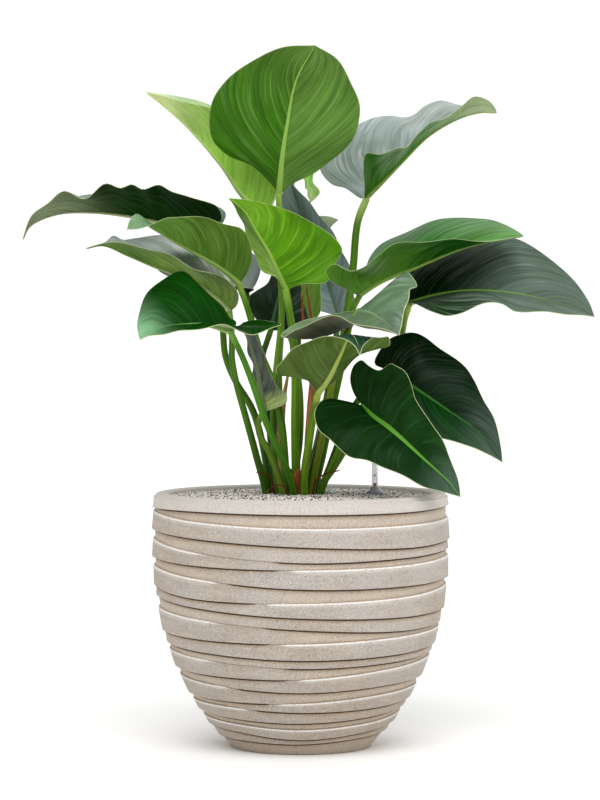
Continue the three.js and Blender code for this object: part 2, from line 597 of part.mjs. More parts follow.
function potGeometry() {
  const positions = [0, 0, FLOOR];
  const triangles = [];
  let ringSize = 0;
  for (let i = 0; i < POT_SEGMENTS; i += 1) {
    const angle = (2 * Math.PI * i) / POT_SEGMENTS;
    const section = potSection(angle);
    ringSize = section.length;
    for (const [radius, height] of section) {
      positions.push(radius * Math.cos(angle), radius * Math.sin(angle), height);
    }
  }
  const underside = positions.length / 3;
  positions.push(0, 0, 0);
  for (let i = 0; i < POT_SEGMENTS; i += 1) {
    const a = 1 + i * ringSize;
    const b = 1 + ((i + 1) % POT_SEGMENTS) * ringSize;
    triangles.push(0, a, b);
    for (let k = 0; k < ringSize - 1; k += 1) {
      triangles.push(a + k, a + k + 1, b + k + 1, a + k, b + k + 1, b + k);
    }
    triangles.push(underside, b + ringSize - 1, a + ringSize - 1);
  }
  return toGeometry(positions, triangles);
}

function soilGeometry() {
  const profile = [[0, FLOOR + GAP], [FLOOR_RADIUS - GAP, FLOOR + GAP],
    ...insideProfile(SOIL_TOP, 3 * GAP), [0, SOIL_TOP]];
  const points = profile.map(([radius, height]) => new THREE.Vector2(radius, height));
  return new THREE.LatheGeometry(points, POT_SEGMENTS).rotateX(Math.PI / 2);
}

// A disc whose top is a heap of grains: rings of points raised and lowered at random.
function gravelGeometry() {
  const draw = random(7);
  const bottom = SOIL_TOP + GAP;
  const flatsInset = Math.cos(Math.PI / POT_SEGMENTS);
  const edge = (outerRadius(POT_HEIGHT - RIM_ROUND) - WALL) * flatsInset - GAP;
  const positions = [0, 0, GRAVEL_TOP + GRAVEL_MOUND];
  const triangles = [];
  const ringStart = (ring) => (ring ? 1 + 3 * ring * (ring - 1) : 0);
  for (let ring = 1; ring <= GRAVEL_RINGS; ring += 1) {
    const share = ring / GRAVEL_RINGS;
    for (let k = 0; k < 6 * ring; k += 1) {
      const isEdge = ring === GRAVEL_RINGS;
      const angle = (Math.PI * k) / (3 * ring) + (isEdge ? 0 : (draw() - 0.5) * 0.25 / ring);
      const radius = edge * share;
      const relief = (2 * draw() - 1) * GRAVEL_RELIEF;
      const height = GRAVEL_TOP + GRAVEL_MOUND * (1 - share * share) + relief;
      positions.push(radius * Math.cos(angle), radius * Math.sin(angle), height);
    }
    for (let side = 0; side < 6; side += 1) {
      for (let k = 0; k < ring; k += 1) {
        const outer = ringStart(ring) + ((side * ring + k) % (6 * ring));
        const next = ringStart(ring) + ((side * ring + k + 1) % (6 * ring));
        const inner = ring === 1 ? 0
          : ringStart(ring - 1) + ((side * (ring - 1) + k) % (6 * (ring - 1)));
        triangles.push(inner, outer, next);
        if (k < ring - 1) {
          const beside = ringStart(ring - 1) + ((side * (ring - 1) + k + 1) % (6 * (ring - 1)));
          triangles.push(inner, next, beside);
        }
      }
    }
  }
  const rim = ringStart(GRAVEL_RINGS);
  const count = 6 * GRAVEL_RINGS;
  const lower = positions.length / 3;
  for (let k = 0; k < count; k += 1) {
    const angle = (2 * Math.PI * k) / count;
    positions.push(edge * Math.cos(angle), edge * Math.sin(angle), bottom);
  }
  const middle = positions.length / 3;
  positions.push(0, 0, bottom);
  for (let k = 0; k < count; k += 1) {
    const next = (k + 1) % count;
    triangles.push(rim + k, lower + k, lower + next, rim + k, lower + next, rim + next);
    triangles.push(middle, lower + next, lower + k);
  }
  return toGeometry(positions, triangles);
}

function ringGeometry(profile, segments, { x, y }) {
  const points = profile.map(([radius, height]) => new THREE.Vector2(radius, height));
  return new THREE.LatheGeometry(points, segments).rotateX(Math.PI / 2).translate(x, y, 0);
}

function barSolid(curve, radii, sides = STALK_SIDES, steps = STALK_STEPS) {
  return toSolid(taperedBar(curve, radii, sides, steps));
}

// Pieces that stand in holes in the gravel and the soil, with the solid that makes the hole.
const holes = [];
const widen = (radii) => radii.map((radius) => radius + HOLE_GAP);

for (const [name, leaf] of Object.entries(LEAVES)) {
  const rows = bladeSurface(name, leaf);
  const normals = upwardNormals(rows);
  const line = stalkCurve(leaf, normals);
  const radii = THICK_STALKS[name] ?? STALK_RADIUS;
  const stalk = barSolid(line, radii);
  const room = barSolid(line, widen(radii));
  const end = line.getTangentAt(1).multiplyScalar(GAP);
  const blade = toSolid(bladeGeometry(rows, normals))
    .subtract(room).subtract(room.translate(end.toArray()));
  holes.push(room.translate([0, 0, -GAP]));
  addPiece(`leaf_${name}`, fromSolid(blade), GREENS[name], 0.45);
  addPiece(`stalk_${name}`, fromSolid(stalk), COLORS.stalk, 0.5);
}

SHEATHS.forEach((points, i) => {
  const line = curveThrough(points);
  const bar = taperedBar(line, SHEATH_RADIUS, SHEATH_SIDES, SHORT_STEPS);
  addPiece(`sheath_${i + 1}`, bar, COLORS.sheath, 0.8);
  holes.push(barSolid(line, widen(SHEATH_RADIUS), SHEATH_SIDES, SHORT_STEPS).translate([0, 0, -GAP]));
});

ROOTS.forEach((points, i) => {
  const line = curveThrough(points);
  const bar = taperedBar(line, ROOT_RADIUS, ROOT_SIDES, SHORT_STEPS);
  addPiece(`root_${i + 1}`, bar, COLORS.root, 0.9);
  holes.push(barSolid(line, widen(ROOT_RADIUS), ROOT_SIDES, SHORT_STEPS).translate([0, 0, -GAP]));
});

const [tubeFoot, tubeTop] = TUBE_RANGE;
addPiece('gauge_tube', ringGeometry([
  [TUBE_BORE, tubeFoot], [TUBE_RADIUS, tubeFoot], [TUBE_RADIUS, tubeTop - 2],
  [TUBE_RADIUS - 1, tubeTop], [0, tubeTop], [0, tubeTop - 3], [TUBE_BORE, tubeTop - 3],
  [TUBE_BORE, tubeFoot],
], 12, GAUGE), COLORS.tube, 0.1, { transparent: true, opacity: 0.35 });
const [floatFoot, floatTop] = FLOAT_RANGE;
addPiece('gauge_float', ringGeometry([
  [0, floatFoot], [TUBE_BORE - GAP, floatFoot], [TUBE_BORE - GAP, floatTop], [0, floatTop],
], 8, GAUGE), COLORS.float, 0.4);
const { radius: footRadius, height: footHeight, seat } = GAUGE_FOOT;
const footBore = TUBE_RADIUS + GAP;
addPiece('gauge_foot', ringGeometry([
  [footBore, seat + GAP], [footRadius, seat + GAP], [footRadius, seat + 3],
  [footRadius - 2.5, seat + 6], [footBore + 1.8, seat + footHeight - 2],
  [footBore + 1.2, seat + footHeight], [footBore, seat + footHeight], [footBore, seat + GAP],
], 16, GAUGE), COLORS.gaugeFoot, 0.35);
const cylinder = (radius, foot, top) => toSolid(ringGeometry([
  [0, foot], [radius, foot], [radius, top], [0, top],
], 12, GAUGE));
holes.push(cylinder(footBore, tubeFoot - GAP, tubeTop));
const seatCut = cylinder(footRadius + 1, seat, tubeTop);

const bored = (solid) => holes.reduce((rest, hole) => rest.subtract(hole), solid);
addPiece('pot', potGeometry(), COLORS.pot, 0.85);
addPiece('soil', fromSolid(bored(toSolid(soilGeometry()))), COLORS.soil, 0.95);
addPiece('gravel', fromSolid(bored(toSolid(gravelGeometry()).subtract(seatCut))), COLORS.gravel, 0.9);

export default plant;
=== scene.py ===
# %% [markdown]
# # A potted philodendron, dressed in Blender
# The plant comes as plain solids at their real size: twenty-one leaves on stalks, a banded stone
# pot with soil and gravel, and a water gauge. This lesson keeps every place and size and replaces
# the plain solids by finer ones, then gives each surface the finish that it has on the real plant.
# The leaves carry most of the look, so they come first, and the camera and light come last.

import math

import bpy
import numpy as np
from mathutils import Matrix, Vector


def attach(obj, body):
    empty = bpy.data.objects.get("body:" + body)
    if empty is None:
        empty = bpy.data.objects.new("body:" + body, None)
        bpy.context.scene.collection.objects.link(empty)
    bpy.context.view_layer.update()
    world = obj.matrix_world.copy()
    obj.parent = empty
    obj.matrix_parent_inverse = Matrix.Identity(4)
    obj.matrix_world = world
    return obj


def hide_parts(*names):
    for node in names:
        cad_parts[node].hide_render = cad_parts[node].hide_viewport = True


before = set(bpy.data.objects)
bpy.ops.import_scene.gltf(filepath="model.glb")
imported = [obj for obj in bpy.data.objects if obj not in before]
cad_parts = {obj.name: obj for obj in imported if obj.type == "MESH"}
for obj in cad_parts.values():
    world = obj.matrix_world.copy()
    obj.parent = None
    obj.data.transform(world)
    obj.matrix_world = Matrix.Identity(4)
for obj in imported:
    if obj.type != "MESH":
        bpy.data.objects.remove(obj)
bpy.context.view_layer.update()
MM = 0.001

# %% [markdown]
# ## Lines through a few points
# A rib, a leaf margin and a stalk are all smooth lines through a handful of points that a person
# can choose by eye. A centripetal Catmull-Rom spline passes through each point without loops or
# overshoot, and sampling it by its own length spreads the mesh evenly.

# %% Smooth line through points, sampled by length
FINE = 60  # samples of each span before they are spread by length
DIRECTION_STEP = 0.004  # share of a line's length over which its direction is read


def unit(v):
    """The same directions at length one."""
    return v / np.maximum(np.linalg.norm(v, axis=-1, keepdims=True), 1e-9)


def ease(x, low, high):
    """0 below low, 1 above high, and a smooth rise between."""
    t = np.clip((x - low) / (high - low), 0, 1)
    return t * t * (3 - 2 * t)


def smooth_line(points):
    """Dense points on a centripetal Catmull-Rom spline."""
    p = np.array(points, float)
    p = np.vstack([2 * p[0] - p[1], p, 2 * p[-1] - p[-2]])
    out = []
    for a, b, c, d in zip(p, p[1:], p[2:], p[3:]):
        ta, tb, tc = (max(np.linalg.norm(v - u), 1e-6) ** 0.5 for u, v in ((a, b), (b, c), (c, d)))
        start = ((b - a) / ta - (c - a) / (ta + tb) + (c - b) / tb) * tb
        end = ((c - b) / tb - (d - b) / (tb + tc) + (d - c) / tc) * tb
        t = np.linspace(0, 1, FINE, endpoint=False)[:, None]
        out.append(b + start * t + (3 * (c - b) - 2 * start - end) * t**2
                   + (2 * (b - c) + start + end) * t**3)
    out.append(p[-2][None])
    return np.vstack(out)


def sample(points, shares):
    """Points and directions at shares of the line's length."""
    line = smooth_line(points)
    run = np.concatenate([[0], np.cumsum(np.linalg.norm(np.diff(line, axis=0), axis=1))])

    def spot(length):
        return np.stack([np.interp(length, run, line[:, k]) for k in range(3)], axis=-1)

    at = np.clip(np.asarray(shares, float), 0, 1) * run[-1]
    step = run[-1] * DIRECTION_STEP
    return spot(at), unit(spot(at + step) - spot(at - step))


line, _ = sample([[0, 0, 0], [10, 0, 0], [20, 10, 0]], [0, 0.5, 1])
print("the middle of a test line is at", line[1].round(2))

# %% [markdown]
# ## Turning rows of points into a mesh
# Nearly every piece here is a grid: rows along it and columns across or round it. A few helpers
# join the rows with quads and close the ends, and one more writes the UV map and the named values
# that the materials read, and links the object. The points stay in the part's own frame, so each
# object sits at the origin.

# %% Faces of grids and rings
def grid_quads(rows, columns, ring=False):
    """Quads that join neighbouring rows, with the last column joined to the first in a ring."""
    i, k = np.meshgrid(np.arange(rows - 1), np.arange(columns if ring else columns - 1), indexing="ij")
    n = (k + 1) % columns
    quads = np.stack([i * columns + k, i * columns + n, (i + 1) * columns + n, (i + 1) * columns + k], -1)
    return quads.reshape(-1, 4)


def closing_quads(rows, columns):
    """Quads that join the last ring of a stack to its first."""
    quads = grid_quads(2, columns, ring=True)
    return np.where(quads < columns, quads + (rows - 1) * columns, quads - columns)


def capped_faces(rows, columns):
    """Quads round a stack of rings, and fans from its first and last ring to two more points."""
    faces = grid_quads(rows, columns, ring=True)[:, ::-1].tolist()
    first = rows * columns
    for k in range(columns):
        n = (k + 1) % columns
        faces.append([first, k, n])
        faces.append([first + 1, first - columns + n, first - columns + k])
    return faces


def turns(sides):
    """Equal angles round a ring."""
    return 2 * np.pi * np.arange(sides) / sides


def round_points(radius, turn, height, axis=(0, 0)):
    """Points at a radius, an angle and a height round an upright axis."""
    spots = axis[0] + radius * np.cos(turn), axis[1] + radius * np.sin(turn), height
    return np.stack(np.broadcast_arrays(*spots), -1)


print("a 3 by 4 grid has", len(grid_quads(3, 4)), "quads")

# %% From points and faces to a piece
def new_object(name, data):
    """A new object in the scene for a mesh, a lamp or a camera."""
    made = bpy.data.objects.new(name, data)
    bpy.context.scene.collection.objects.link(made)
    return made


def add_piece(name, points, faces, materials, which=None, uv=None, values=None):
    """A smooth mesh object from points in millimetres. Faces may repeat a corner at a pole."""
    clean = []
    kept = []
    for number, face in enumerate(faces):
        corners = list(dict.fromkeys(int(v) for v in face))
        if len(corners) > 2:
            clean.append(corners)
            kept.append(number)
    mesh = bpy.data.meshes.new(name)
    mesh.from_pydata((np.asarray(points) * MM).tolist(), [], clean)
    for material in materials:
        mesh.materials.append(material)
    if which is not None:
        mesh.polygons.foreach_set("material_index", np.asarray(which)[kept].astype(np.int32))
    corner_points = np.empty(len(mesh.loops), np.int32)
    mesh.loops.foreach_get("vertex_index", corner_points)
    if uv is not None:
        layer = mesh.uv_layers.new(name="UVMap")
        layer.data.foreach_set("uv", np.asarray(uv)[corner_points].astype(np.float32).ravel())
    for key, value in (values or {}).items():
        attribute = mesh.attributes.new(key, "FLOAT", "POINT")
        attribute.data.foreach_set("value", np.asarray(value).astype(np.float32))
    mesh.polygons.foreach_set("use_smooth", np.ones(len(mesh.polygons), bool))
    mesh.validate()
    mesh.update()
    return new_object(name, mesh)


def triangles(piece):
    """How many triangles the piece has."""
    return sum(len(p.vertices) - 2 for p in piece.data.polygons)


def seat(piece, slot, *nodes):
    """The piece rides on the part's one body and stands for the named solids. Its slot is not used."""
    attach(piece, "root")
    if nodes:
        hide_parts(*nodes)


print("mesh helpers ready")

# %% [markdown]
# ## Shader node helpers
# A material is a small graph. These helpers keep the graphs short to read: one adds a node with
# its values, some do arithmetic, one lays coats of colour over each other by their masks, and one
# opens a node group with named sockets. The groups hold what several materials share, and give
# out only colours, roughness and heights.

# %% Node helpers
def linear(text):
    """A colour written as on the web, such as 3f7a22, as Blender's linear values."""
    parts = [int(text[i:i + 2], 16) / 255 for i in (0, 2, 4)]
    return [*(v / 12.92 if v < 0.04045 else ((v + 0.055) / 1.055) ** 2.4 for v in parts), 1.0]


class Graph:
    """A node tree with short ways to add and join nodes."""

    def __init__(self, tree):
        self.tree = tree

    def put(self, socket, value):
        if isinstance(value, bpy.types.NodeSocket):
            self.tree.links.new(value, socket)
        elif value is not None:
            socket.default_value = value

    def node(self, kind, inputs=None, **settings):
        made = self.tree.nodes.new(kind)
        for key, value in settings.items():
            setattr(made, key, value)
        for key, value in (inputs or {}).items():
            self.put(made.inputs[key], value)
        return made

    def math(self, operation, *values):
        made = self.node("ShaderNodeMath", operation=operation)
        for socket, value in zip(made.inputs, values):
            self.put(socket, value)
        return made.outputs[0]

    def times(self, product, *values):
        """The product of all the values."""
        for value in values:
            product = self.math("MULTIPLY", product, value)
        return product

    def span(self, value, low, high, start=0.0, end=1.0):
        """Maps low..high to start..end with a smooth rise, and holds the ends."""
        made = self.node("ShaderNodeMapRange", {0: value, 1: low, 2: high, 3: start, 4: end},
                         interpolation_type="SMOOTHSTEP")
        return made.outputs[0]

    def mix(self, share, a, b, blend="MIX"):
        made = self.node("ShaderNodeMix", data_type="RGBA", blend_type=blend)
        self.put(made.inputs["Factor"], share)
        self.put(made.inputs[6], a)
        self.put(made.inputs[7], b)
        return made.outputs[2]

    def coats(self, colour, *coats):
        """Lays coats over a colour, one after the other. Each is a mask and a shade."""
        for mask, shade in coats:
            colour = self.mix(mask, colour, shade)
        return colour

    def named(self, name):
        """A value stored on the piece's points."""
        return self.node("ShaderNodeAttribute", attribute_name=name).outputs["Fac"]

    def noise(self, vector, scale, detail=3.0, rough=0.5):
        made = self.node("ShaderNodeTexNoise", {"Vector": vector, "Scale": scale, "Detail": detail,
                                                "Roughness": rough})
        return made.outputs["Fac"]

    def object_place(self):
        """The place on the piece, in metres."""
        return self.node("ShaderNodeTexCoord").outputs["Object"]

    def uv_parts(self):
        """Across and along, from the UV map."""
        uv = self.node("ShaderNodeUVMap", uv_map="UVMap").outputs[0]
        return self.node("ShaderNodeSeparateXYZ", {0: uv}).outputs[:2]

    def group(self, tree, inputs):
        return self.node("ShaderNodeGroup", inputs, node_tree=tree).outputs


def shader_group(name, inputs, outputs):
    """A new shader node group. Inputs give (name, kind, default) and outputs give (name, kind)."""
    tree = bpy.data.node_groups.new(name, "ShaderNodeTree")
    for label, kind, default in inputs:
        socket = tree.interface.new_socket(label, in_out="INPUT", socket_type=f"NodeSocket{kind}")
        socket.default_value = default
    for label, kind in outputs:
        tree.interface.new_socket(label, in_out="OUTPUT", socket_type=f"NodeSocket{kind}")
    graph = Graph(tree)
    start = graph.node("NodeGroupInput").outputs
    return tree, graph, start, graph.node("NodeGroupOutput").inputs


def material(name, colour, roughness=0.5, bump=0.0, distance=MM, shown="808080", **constants):
    """A Principled material. A function for colour gives its Colour, Roughness and Height sockets."""
    made = bpy.data.materials.new(name)
    made.use_nodes = True
    made.diffuse_color = linear(shown)
    graph = Graph(made.node_tree)
    shader = next(n for n in made.node_tree.nodes if n.type == "BSDF_PRINCIPLED")
    outputs = colour(graph) if callable(colour) else {"Colour": colour}
    graph.put(shader.inputs["Base Color"], outputs["Colour"])
    graph.put(shader.inputs["Roughness"], outputs.get("Roughness", roughness))
    if "Height" in outputs:
        normal = graph.node("ShaderNodeBump", {"Strength": bump, "Distance": distance,
                                               "Height": outputs["Height"]})
        graph.put(shader.inputs["Normal"], normal.outputs[0])
    for key, value in constants.items():
        shader.inputs[key.replace("_", " ")].default_value = value
    return made


print("helpers ready")

# %% [markdown]
# ## The leaves, where they grow
# Each leaf is four lines, in millimetres: its rib from base to tip, its left and
# right margins as seen on the upper face with the tip up, and its stalk from the blade down. The
# last pair is where the stalk stands in the gravel. They are the same lines as those of the plain
# solids, so a fine leaf lies in the space of its plain one.

# %% Leaf lines
LEAVES = {
    "crown": {
        "rib": [[-32, -2, 802], [-27, -20, 855], [-20, -32, 901], [-6, -40, 968], [21, -35, 1018]],
        "left": [[-11, 12, 820], [27, 25, 841], [59, 20, 866], [82, 5, 898], [86, -10, 931], [74, -25, 962],
            [54, -33, 997]],
        "right": [[-37, 10, 813], [-71, 25, 847], [-108, 25, 863], [-130, 20, 890], [-131, 5, 935],
            [-104, -10, 973], [-70, -20, 997], [-24, -30, 1016]],
        "stalk": [[-29, 0, 738], [-27, 3, 673], [-29, 6, 611], [-35, 9, 554], [-39, 9, 505], [-39, 5, 446]],
        "foot": [-34, -4]},
    "lime": {
        "rib": [[-48, 62, 781], [-81, 66, 800], [-116, 70, 849], [-165, 74, 905], [-201, 74, 937],
            [-229, 70, 958]],
        "left": [[-42, 50, 794], [-35, 42, 821], [-48, 35, 871], [-86, 35, 916], [-133, 42, 934],
            [-172, 52, 942], [-200, 62, 951]],
        "right": [[-40, 85, 795], [-25, 112, 842], [-46, 128, 893], [-91, 130, 927], [-135, 120, 941],
            [-156, 108, 948], [-179, 92, 953], [-204, 79, 956]],
        "stalk": [[-38, 52, 739], [-29, 42, 673], [-29, 34, 607], [-32, 28, 548], [-29, 18, 461]],
        "foot": [-22, 9]},
    "front": {
        "rib": [[-20, -46, 665], [-34, -56, 694], [-47, -60, 721], [-64, -58, 749], [-80, -50, 777],
            [-104, -38, 798]],
        "left": [[-14, -48, 668], [3, -54, 674], [39, -58, 678], [51, -52, 703], [60, -46, 723],
            [47, -44, 742], [11, -44, 766], [-41, -44, 788], [-76, -42, 795]],
        "right": [[-31, -25, 680], [-54, 15, 693], [-71, 30, 721], [-83, 8, 757], [-94, -22, 783]],
        "stalk": [[-13, -40, 612], [-8, -34, 542], [-8, -26, 465]],
        "foot": [-6, -20]},
    "plume": {
        "rib": [[-131, 60, 742], [-163, 62, 756], [-208, 65, 766], [-260, 68, 776], [-311, 70, 781],
            [-360, 70, 778], [-400, 66, 760], [-411, 62, 738]],
        "left": [[-120, 35, 759], [-115, 5, 775], [-123, -12, 789], [-162, -18, 799], [-187, -18, 807],
            [-206, -14, 819], [-229, -12, 813], [-245, -8, 819], [-263, -5, 812], [-285, 0, 819],
            [-315, 12, 800], [-346, 22, 810], [-371, 38, 792], [-397, 52, 775]],
        "right": [[-124, 88, 753], [-112, 118, 781], [-143, 138, 796], [-204, 150, 812], [-264, 145, 816],
            [-318, 125, 808], [-365, 100, 792], [-396, 78, 774]],
        "stalk": [[-122, 50, 707], [-116, 44, 651], [-114, 35, 602], [-110, 27, 567], [-95, 22, 531],
            [-71, 18, 491], [-54, 13, 431]],
        "foot": [-46, 9]},
    "sail": {
        "rib": [[-87, -70, 674], [-118, -85, 699], [-168, -102, 728], [-207, -118, 751], [-226, -128, 761],
            [-246, -132, 750]],
        "left": [[-77, -78, 688], [-69, -98, 713], [-75, -118, 739], [-86, -128, 753], [-117, -142, 761],
            [-153, -155, 769], [-187, -155, 766], [-210, -142, 757], [-230, -135, 751]],
        "right": [[-92, -40, 685], [-114, -18, 707], [-146, -15, 729], [-174, -35, 743], [-199, -75, 752],
            [-217, -108, 763], [-232, -122, 773], [-242, -130, 764]],
        "stalk": [[-79, -58, 646], [-72, -42, 622], [-58, -24, 575], [-43, -18, 538], [-34, -18, 503],
            [-27, -20, 469]],
        "foot": [-20, -19]},
    "lance": {
        "rib": [[-100, -60, 635], [-120, -66, 655], [-152, -70, 677], [-209, -78, 699], [-247, -84, 715],
            [-282, -90, 729], [-308, -94, 724]],
        "left": [[-91, -82, 644], [-89, -100, 662], [-103, -110, 678], [-150, -118, 696], [-183, -120, 712],
            [-212, -120, 723], [-240, -116, 729], [-274, -106, 733]],
        "right": [[-95, -30, 651], [-102, 5, 674], [-118, 22, 704], [-155, 28, 730], [-199, 25, 746],
            [-220, 12, 746], [-240, -5, 740], [-257, -28, 737], [-270, -48, 744], [-281, -68, 734]],
        "stalk": [[-99, -58, 595], [-99, -55, 567], [-93, -47, 531], [-79, -34, 479], [-65, -20, 426]],
        "foot": [-50, -8]},
    "broad": {
        "rib": [[-97, -165, 606], [-133, -172, 616], [-164, -176, 616], [-186, -178, 614],
            [-211, -178, 606], [-226, -172, 595]],
        "left": [[-77, -172, 620], [-51, -186, 623], [-27, -202, 617], [-41, -222, 610], [-65, -238, 604],
            [-84, -246, 609], [-104, -250, 615], [-132, -252, 611], [-164, -246, 610], [-187, -226, 602],
            [-210, -196, 601]],
        "right": [[-91, -140, 620], [-102, -118, 627], [-112, -106, 641], [-138, -104, 668],
            [-150, -106, 677], [-163, -106, 688], [-176, -108, 691], [-200, -114, 678], [-219, -124, 658],
            [-228, -142, 634], [-230, -160, 614]],
        "stalk": [[-83, -150, 572], [-69, -128, 535], [-50, -94, 477], [-34, -70, 440], [-18, -48, 400]],
        "foot": [-10, -36]},
    "silver": {
        "rib": [[94, 30, 799], [116, 40, 821], [146, 52, 852], [189, 66, 894], [237, 78, 921],
            [269, 86, 929], [291, 88, 928]],
        "left": [[86, 45, 801], [66, 75, 816], [44, 105, 825], [29, 130, 848], [40, 145, 882],
            [68, 152, 905], [107, 152, 922], [134, 150, 927], [157, 147, 926], [171, 143, 931],
            [186, 138, 942], [210, 130, 948], [233, 118, 942], [261, 104, 938]],
        "right": [[93, 5, 815], [91, -22, 842], [96, -38, 862], [114, -40, 861], [137, -32, 871],
            [154, -22, 872], [173, -6, 893], [187, 6, 910], [215, 25, 918], [236, 45, 934], [255, 62, 951],
            [277, 74, 946], [288, 82, 935]],
        "stalk": [[85, 28, 771], [81, 26, 750], [77, 22, 701], [71, 20, 651], [52, 22, 541], [40, 20, 497],
            [25, 15, 431]],
        "foot": [11, 10]},
    "wing": {
        "rib": [[83, -42, 657], [114, -46, 677], [163, -50, 697], [231, -54, 725], [287, -52, 738],
            [322, -46, 743]],
        "left": [[89, -12, 668], [94, 18, 687], [99, 36, 708], [117, 46, 730], [146, 52, 748],
            [189, 52, 764], [236, 44, 773], [266, 30, 770], [293, 2, 762], [311, -20, 753]],
        "right": [[62, -66, 668], [42, -88, 679], [36, -100, 692], [47, -106, 701], [69, -112, 692],
            [87, -118, 698], [107, -124, 712], [134, -128, 729], [172, -128, 734], [208, -120, 737],
            [247, -100, 734], [286, -74, 737]],
        "stalk": [[78, -41, 644], [73, -40, 629], [68, -37, 600], [60, -31, 557], [47, -22, 498],
            [32, -11, 425]],
        "foot": [19, -6]},
    "paddle": {
        "rib": [[156, -22, 646], [199, -30, 658], [253, -38, 664], [328, -44, 657], [402, -42, 636],
            [425, -38, 626]],
        "left": [[149, 0, 655], [141, 15, 671], [149, 30, 689], [183, 45, 713], [235, 50, 730],
            [278, 46, 739], [303, 42, 742], [325, 36, 737], [351, 26, 723], [384, 6, 693], [405, -10, 670],
            [419, -26, 646]],
        "right": [[167, -55, 645], [190, -92, 632], [207, -108, 628], [226, -118, 633], [260, -122, 644],
            [287, -120, 644], [302, -114, 637], [321, -106, 634], [356, -90, 632], [399, -62, 629]],
        "stalk": [[152, -6, 625], [148, 20, 600], [134, 36, 555], [105, 42, 504], [73, 38, 445],
            [46, 30, 401]],
        "foot": [21, 22]},
    "visor": {
        "rib": [[82, -80, 636], [98, -140, 633], [118, -200, 620], [136, -250, 602]],
        "left": [[97, -72, 646], [125, -75, 667], [142, -84, 682], [152, -95, 690], [162, -115, 679],
            [164, -140, 668], [154, -162, 665], [150, -188, 651], [143, -220, 630]],
        "right": [[64, -62, 634], [35, -52, 629], [-1, -56, 618], [-28, -78, 604], [-25, -100, 599],
            [-1, -140, 610], [19, -165, 623], [38, -185, 628], [55, -205, 626], [71, -222, 619],
            [96, -238, 615], [120, -248, 609]],
        "stalk": [[73, -84, 619], [58, -78, 583], [46, -62, 536], [34, -42, 470]],
        "foot": [15, -21]},
    "dusk": {
        "rib": [[56, 140, 627], [41, 160, 674], [22, 172, 726], [4, 170, 779], [-16, 155, 831]],
        "left": [[44, 137, 630], [17, 140, 639], [-13, 148, 660], [-31, 155, 699], [-40, 158, 741],
            [-37, 156, 783], [-27, 154, 812]],
        "right": [[68, 130, 627], [80, 118, 639], [80, 112, 663], [71, 112, 705], [59, 118, 732],
            [44, 126, 757], [17, 140, 793], [-3, 150, 815]],
        "stalk": [[54, 124, 603], [48, 95, 559], [37, 66, 500], [21, 40, 427]],
        "foot": [3, 26]},
    "spear": {
        "rib": [[18, 25, 619], [12, 25, 644], [6, 25, 673], [2, 22, 706], [-1, 20, 741]],
        "left": [[11, 33, 627], [3, 42, 651], [-1, 44, 676], [-4, 38, 707], [-4, 28, 730]],
        "right": [[27, 17, 630], [31, 10, 646], [28, 8, 663], [30, 8, 677], [24, 11, 706], [9, 16, 731]],
        "stalk": [[21, 22, 585], [21, 15, 537], [17, 7, 476], [9, 0, 417]],
        "foot": [3, -5]},
    "shade": {
        "rib": [[-44, 60, 607], [-38, 80, 636], [-29, 100, 673], [-20, 112, 714], [-11, 118, 752]],
        "left": [[-59, 60, 615], [-75, 68, 638], [-77, 75, 654], [-65, 88, 666], [-50, 98, 675],
            [-44, 105, 688], [-35, 113, 720], [-23, 117, 740]],
        "right": [[-23, 58, 605], [3, 62, 612], [17, 70, 630], [18, 85, 657], [11, 100, 693],
            [0, 113, 731]],
        "stalk": [[-50, 55, 589], [-56, 50, 568], [-54, 44, 536], [-48, 36, 482]],
        "foot": [-37, 24]},
    "bud": {
        "rib": [[-15, 190, 833], [-4, 194, 850], [7, 192, 846], [12, 186, 824], [15, 180, 798]],
        "left": [[-9, 202, 848], [5, 204, 862], [19, 198, 854], [19, 190, 831], [29, 186, 814],
            [23, 183, 805]],
        "right": [[-12, 182, 837], [-1, 180, 838], [5, 179, 832], [8, 179, 820], [11, 179, 808]],
        "stalk": [[-16, 185, 802], [-21, 185, 757], [-25, 186, 709], [-27, 178, 663], [-22, 138, 613],
            [-11, 80, 584], [-5, 50, 545], [-1, 25, 504], [-2, 6, 446]],
        "foot": [-13, -4]},
    "distant": {
        "rib": [[-1, 170, 651], [2, 195, 696], [14, 212, 742], [39, 216, 770], [58, 212, 773]],
        "left": [[-15, 190, 674], [-19, 212, 724], [-7, 226, 758], [16, 230, 776], [42, 222, 779]],
        "right": [[17, 172, 669], [32, 190, 706], [37, 200, 733], [39, 208, 753], [48, 211, 764]],
        "stalk": [[-3, 140, 618], [-4, 104, 573], [-5, 60, 500]],
        "foot": [-6, 11]},
    "night": {
        "rib": [[-78, 92, 661], [-113, 112, 679], [-150, 120, 691], [-188, 122, 699], [-218, 120, 702]],
        "left": [[-69, 72, 667], [-82, 62, 670], [-122, 60, 670], [-164, 68, 673], [-196, 88, 684],
            [-213, 108, 696]],
        "right": [[-67, 118, 675], [-60, 145, 702], [-73, 165, 723], [-119, 180, 725], [-167, 174, 720],
            [-199, 148, 710]],
        "stalk": [[-72, 88, 618], [-59, 72, 550], [-44, 52, 474]],
        "foot": [-22, 26]},
    "bib": {
        "rib": [[88, -90, 501], [105, -100, 484], [130, -112, 466], [175, -130, 425], [209, -136, 394],
            [227, -130, 371]],
        "left": [[76, -82, 518], [71, -76, 538], [75, -76, 556], [86, -84, 565], [98, -96, 557],
            [113, -106, 551], [128, -114, 561], [134, -118, 558], [147, -120, 550], [157, -122, 532],
            [164, -122, 510], [186, -126, 475], [202, -130, 452], [212, -134, 426], [224, -133, 394]],
        "right": [[70, -93, 499], [49, -102, 510], [29, -111, 507], [19, -117, 490], [25, -123, 468],
            [39, -127, 456], [68, -132, 428], [95, -140, 424], [119, -145, 413], [146, -148, 401],
